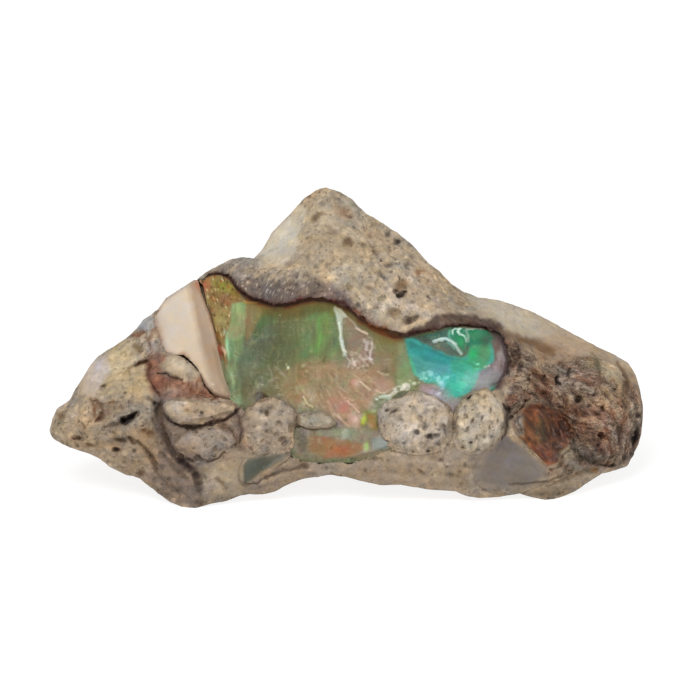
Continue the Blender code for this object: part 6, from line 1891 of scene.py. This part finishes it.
def splinters(tree, where, size, length, width, at):
    """Bundles of splinters, each bundle with a run of its own: 0 between two splinters to 1 on one. In mm."""
    bundles = node(tree, "ShaderNodeTexVoronoi", at, Scale=1000 / size)
    tree.links.new(where, bundles.inputs["Vector"])
    centred = node(tree, "ShaderNodeVectorMath", (at[0] + 200, at[1]), operation="MULTIPLY_ADD")
    centred.inputs[1].default_value = (-1, -1, -1)
    tree.links.new(bundles.outputs["Position"], centred.inputs[0])
    tree.links.new(where, centred.inputs[2])
    axis = node(tree, "ShaderNodeVectorMath", (at[0] + 200, at[1] - 200), operation="SUBTRACT")
    axis.inputs[1].default_value = (0.5, 0.2, 0.5)
    tree.links.new(bundles.outputs["Color"], axis.inputs[0])
    split = node(tree, "ShaderNodeSeparateColor", (at[0] + 200, at[1] - 400))
    tree.links.new(bundles.outputs["Color"], split.inputs[0])
    angle = maths(tree, "MULTIPLY", split.outputs[1], 3.1, (at[0] + 350, at[1] - 400))
    turned = node(tree, "ShaderNodeVectorRotate", (at[0] + 500, at[1]), rotation_type="AXIS_ANGLE")
    tree.links.new(centred.outputs["Vector"], turned.inputs["Vector"])
    tree.links.new(axis.outputs["Vector"], turned.inputs["Axis"])
    tree.links.new(angle, turned.inputs["Angle"])
    drawn_out = node(tree, "ShaderNodeVectorMath", (at[0] + 650, at[1]), operation="MULTIPLY")
    drawn_out.inputs[1].default_value = (1000 / length, 1000 / width, 1000 / width)
    tree.links.new(turned.outputs["Vector"], drawn_out.inputs[0])
    grain = node(tree, "ShaderNodeTexNoise", (at[0] + 800, at[1]), Scale=1.0, Detail=1.5, Roughness=0.6)
    tree.links.new(drawn_out.outputs["Vector"], grain.inputs["Vector"])
    ridge = maths(tree, "ABSOLUTE", maths(tree, "SUBTRACT", grain.outputs[0], 0.5, (at[0] + 950, at[1])), 0.0, (at[0] + 1050, at[1]))
    return ranged(tree, ridge, 1.0, 0.0, (at[0] + 1150, at[1]), 0.0, 0.17)


def surface(name, dull, polished, contrast, depth, clear=0.0, tint=0.035, ripple=0.010, haze=0.07):
    """A material for any piece of the stone. The painted colour is broken up by dark pits, pale grains, cracks and dust
    where the attribute grit is 1, by splinters where fibre is 1, and is glassy where gloss is 1. dull and polished are
    the roughness where gloss is 0 and 1; contrast is the strength of the grain and depth its height in mm; clear is
    the share of light that passes through."""
    made = bpy.data.materials.new(name)
    made.use_nodes = True
    tree = made.node_tree
    shader = tree.nodes["Principled BSDF"]
    place_at = node(tree, "ShaderNodeTexCoord", (-3000, 0)).outputs["Object"]
    where = bent(tree, place_at, 0.30, 0.22, (-2800, -300))
    ragged = bent(tree, place_at, 0.80, 0.70, (-2800, -600))
    paint = node(tree, "ShaderNodeAttribute", (-1100, 500), attribute_name="paint")
    grit = node(tree, "ShaderNodeAttribute", (-1100, 700), attribute_name="grit").outputs["Fac"]
    fibre = node(tree, "ShaderNodeAttribute", (-1100, 900), attribute_name="fibre").outputs["Fac"]
    gloss = node(tree, "ShaderNodeAttribute", (-1100, 1100), attribute_name="gloss").outputs["Fac"]
    grains = node(tree, "ShaderNodeTexNoise", (-1500, 0), Scale=1000 / 0.42, Detail=6.0, Roughness=0.70)
    tree.links.new(place_at, grains.inputs["Vector"])
    dust = node(tree, "ShaderNodeTexNoise", (-1500, -200), Scale=1000 / 0.12, Detail=3.0, Roughness=0.65)
    tree.links.new(place_at, dust.inputs["Vector"])
    dark = specks(tree, where, 0.62, 0.36, 0.20, (-2200, -400))
    dark_small = specks(tree, where, 0.28, 0.44, 0.18, (-2200, -700))
    light = specks(tree, where, 0.38, 0.50, 0.20, (-2200, -1000))
    big_cracks = cracks(tree, ragged, 2.3, 0.09, 0.22, (-2200, -1400))
    small_cracks = cracks(tree, ragged, 1.0, 0.06, 0.16, (-2200, -1900))
    shards = node(tree, "ShaderNodeTexVoronoi", (-1500, -1300), Scale=1000 / 0.75)
    tree.links.new(where, shards.inputs["Vector"])
    shard_split = node(tree, "ShaderNodeSeparateColor", (-1300, -1300))
    tree.links.new(shards.outputs["Color"], shard_split.inputs[0])
    total = ranged(tree, grains.outputs[0], -0.19 * contrast, 0.19 * contrast, (-1100, 0))
    total = maths(tree, "ADD", total, ranged(tree, dust.outputs[0], -0.16 * contrast, 0.16 * contrast, (-1100, -200)), (-900, 0))
    # the dark specks and cracks, which the bump sinks, are darkened: painted shade in them
    for mask, amount in ((light, 0.22), (dark, -0.30), (dark_small, -0.27), (big_cracks, -0.16), (small_cracks, -0.14)):
        total = maths(tree, "ADD", total, maths(tree, "MULTIPLY", mask, amount * contrast, (-900, -600)), (-750, 0))
    total = maths(tree, "ADD", total, ranged(tree, shard_split.outputs[1], -0.05 * contrast, 0.05 * contrast,
        (-1100, -1300), 0.0, 1.0), (-600, 0))
    mottle = node(tree, "ShaderNodeTexNoise", (-1500, -2100), Scale=1000 / 1.5, Detail=5.0, Roughness=0.72, Distortion=0.35)
    tree.links.new(place_at, mottle.inputs["Vector"])
    total = maths(tree, "ADD", total, ranged(tree, mottle.outputs[0], -0.16 * contrast, 0.14 * contrast, (-1100, -2100)), (-600, -100))
    # splinters take over where there are any
    broad = splinters(tree, place_at, 1.5, 1.8, 0.30, (-2400, -2500))
    narrow = splinters(tree, where, 0.85, 1.0, 0.16, (-2400, -3100))
    both = maths(tree, "ADD", maths(tree, "MULTIPLY", broad, 0.60, (-900, -2500)), maths(tree, "MULTIPLY", narrow, 0.55,
        (-900, -3100)), (-750, -2500))
    woven = ranged(tree, both, -0.50 * contrast, 0.42 * contrast, (-600, -2500), 0.10, 0.95)
    amount = ranged(tree, grit, 0.26, 1.0, (-600, 700), 0.0, 1.0)
    amount = maths(tree, "MULTIPLY", amount, ranged(tree, gloss, 1.0, 0.22, (-600, 1100), 0.0, 1.0), (-450, 700))
    fading = ranged(tree, fibre, 1.0, 0.45, (-600, 900), 0.0, 1.0)
    total = maths(tree, "MULTIPLY", total, maths(tree, "MULTIPLY", amount, fading, (-300, 700)), (-300, 0))
    total = maths(tree, "ADD", total, maths(tree, "MULTIPLY", woven, fibre, (-300, -2500)), (-250, 0))
    factor = maths(tree, "MAXIMUM", maths(tree, "ADD", total, 1.0, (-200, 0)), 0.26, (-120, 0))
    colour = times(tree, paint.outputs["Color"], factor, (-60, 500))
    warm = node(tree, "ShaderNodeTexNoise", (-1100, -1600), Scale=1000 / 0.9, Detail=4.0)
    tree.links.new(place_at, warm.inputs["Vector"])
    lean = node(tree, "ShaderNodeMix", (-600, -1600), data_type="RGBA")
    lean.inputs["A"].default_value = (1 + tint, 1, 1 - 2.2 * tint, 1)
    lean.inputs["B"].default_value = (1 - tint, 1, 1 + 2.2 * tint, 1)
    tree.links.new(ranged(tree, warm.outputs[0], 0.0, 1.0, (-900, -1600), 0.36, 0.64), lean.inputs["Factor"])
    colour = times(tree, colour, lean.outputs["Result"], (60, 500))
    if polished < dull:
        # the haze and fine play of the glassy places
        soft = node(tree, "ShaderNodeTexNoise", (-1500, 1500), Scale=1000 / 0.26, Detail=5.0, Roughness=0.75)
        tree.links.new(place_at, soft.inputs["Vector"])
        veil = ranged(tree, soft.outputs[0], 1 - haze, 1 + haze, (-1100, 1500), 0.36, 0.64)
        veil = maths(tree, "ADD", maths(tree, "MULTIPLY", maths(tree, "SUBTRACT", veil, 1.0, (-950, 1500)), gloss, (-800, 1500)),
            1.0, (-650, 1500))
        colour = times(tree, colour, veil, (180, 500))
    tree.links.new(colour, shader.inputs["Base Color"])
    rough = node(tree, "ShaderNodeMapRange", (-300, 1300))
    rough.inputs["To Min"].default_value = dull
    rough.inputs["To Max"].default_value = polished
    tree.links.new(gloss, rough.inputs["Value"])
    uneven = ranged(tree, grains.outputs[0], -0.07, 0.07, (-300, -200))
    tree.links.new(maths(tree, "ADD", rough.outputs["Result"], uneven, (-100, 1300)), shader.inputs["Roughness"])
    height = maths(tree, "ADD", grains.outputs[0], maths(tree, "MULTIPLY", dust.outputs[0], 0.5, (-900, -1900)), (-750, -1900))
    for mask, by in ((dark, -0.55), (dark_small, -0.35), (light, 0.22), (big_cracks, -0.4), (small_cracks, -0.3)):
        height = maths(tree, "ADD", height, maths(tree, "MULTIPLY", mask, by, (-900, -2000)), (-600, -1900))
    height = maths(tree, "MULTIPLY", height, amount, (-300, -1900))
    height = maths(tree, "ADD", height, maths(tree, "MULTIPLY", maths(tree, "MULTIPLY", both, fibre, (-500, -2700)), 1.1,
        (-400, -2700)), (-200, -1900))
    height = maths(tree, "MULTIPLY", height, ranged(tree, gloss, 1.0, ripple / max(depth, 1e-6), (-300, -2300), 0.0, 1.0), (-100, -1900))
    bump = node(tree, "ShaderNodeBump", (0, -450), Strength=1.0, Distance=depth * 0.001)
    tree.links.new(height, bump.inputs["Height"])
    tree.links.new(bump.outputs["Normal"], shader.inputs["Normal"])
    shader.inputs["Specular IOR Level"].default_value = 0.3 if polished < dull else 0.2
    shader.inputs["IOR"].default_value = 1.45
    shader.inputs["Transmission Weight"].default_value = clear
    return made


tuff = surface("tuff", 0.92, 0.92, 1.0, 0.15)
lapilli = surface("pale_tuff", 0.90, 0.90, 0.95, 0.13)
potch = surface("common_opal", 0.85, 0.42, 0.9, 0.12, 0.03, haze=0.012, ripple=0.004)
fire = surface("precious_opal", 0.85, 0.26, 0.9, 0.12, 0.10, haze=0.09, ripple=0.010)
milky = surface("milky_opal", 0.88, 0.40, 0.9, 0.12, 0.12, haze=0.05, ripple=0.006)
rusty = surface("iron_stained_opal", 0.88, 0.44, 0.9, 0.14, 0.06, haze=0.14, ripple=0.03)


# ---------------------------------------------------------------- the pieces
def add(name, points, faces, colours, extra, finish, node_name, slot):
    made = mesh_object(name, points, faces, np.clip(colours * GAIN, 0.004, 0.92), extra)
    made.data.materials.append(finish)
    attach(made, "root")
    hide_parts(node_name)
    return made


add("rock", *build_host(), tuff, "host_rock", "host_tuff")
add("fire_opal_seam", *build_opal(), fire, "precious_opal", "precious_opal")
add("cream_opal", *build_potch(), potch, "common_opal", "common_opal")
for clast in CLASTS:
    add(clast + "_stone", *build_clast(clast), lapilli, clast, "pale_tuff")
add("lower_opal_patch", *build_patch("lower_opal", 1.0), milky, "lower_opal", "milky_opal")
add("lilac_opal_patch", *build_patch("lilac_opal", 1.1), milky, "lilac_opal", "milky_opal")
add("iron_opal_patch", *build_patch("iron_opal", 1.2), rusty, "iron_opal", "iron_opal")

# ---------------------------------------------------------------- floor, light and camera
floor_mesh = bpy.data.meshes.new("floor")
floor_mesh.from_pydata([(-4, -4, 0), (4, -4, 0), (4, 4, 0), (-4, 4, 0)], [], [(0, 1, 2, 3)])
floor = bpy.data.objects.new("floor", floor_mesh)
bpy.context.scene.collection.objects.link(floor)
pale = bpy.data.materials.new("pale_floor")
pale.use_nodes = True
pale.node_tree.nodes["Principled BSDF"].inputs["Base Color"].default_value = (0.20, 0.20, 0.20, 1)
pale.node_tree.nodes["Principled BSDF"].inputs["Roughness"].default_value = 1.0
pale.node_tree.nodes["Principled BSDF"].inputs["Specular IOR Level"].default_value = 0.0
pale.node_tree.nodes["Principled BSDF"].inputs["Emission Color"].default_value = (1, 1, 1, 1)
pale.node_tree.nodes["Principled BSDF"].inputs["Emission Strength"].default_value = 0.84
floor_mesh.materials.append(pale)


def soft_light(name, at, size, watts):
    light = bpy.data.lights.new(name, "AREA")
    light.shape = "SQUARE"
    light.size = size
    light.energy = watts
    made = bpy.data.objects.new(name, light)
    bpy.context.scene.collection.objects.link(made)
    made.location = at
    away = -np.array(at) + np.array((0, 0, 0.008))
    away /= np.linalg.norm(away)
    made.rotation_euler = (math.acos(-away[2]), 0, math.atan2(away[1], away[0]) - math.pi / 2)
    return made


soft_light("key", (-0.14, -0.24, 0.42), 0.26, 1.55)
soft_light("fill", (0.30, -0.30, 0.22), 0.30, 0.35)
world = bpy.data.worlds.new("studio")
bpy.context.scene.world = world
world.use_nodes = True
world.node_tree.nodes["Background"].inputs["Color"].default_value = (1, 1, 1, 1)
world.node_tree.nodes["Background"].inputs["Strength"].default_value = 0.62
bpy.context.scene.view_settings.view_transform = "Standard"

camera_data = bpy.data.cameras.new("camera")
camera_data.lens = 150
camera_data.sensor_width = 36
camera_data.clip_start = 0.01
camera = bpy.data.objects.new("camera", camera_data)
bpy.context.scene.collection.objects.link(camera)
camera.location = EYE_POINT * 0.001
camera.rotation_euler = (math.pi / 2 - TILT, 0, 0)
bpy.context.scene.camera = camera

bpy.context.view_layer.update()
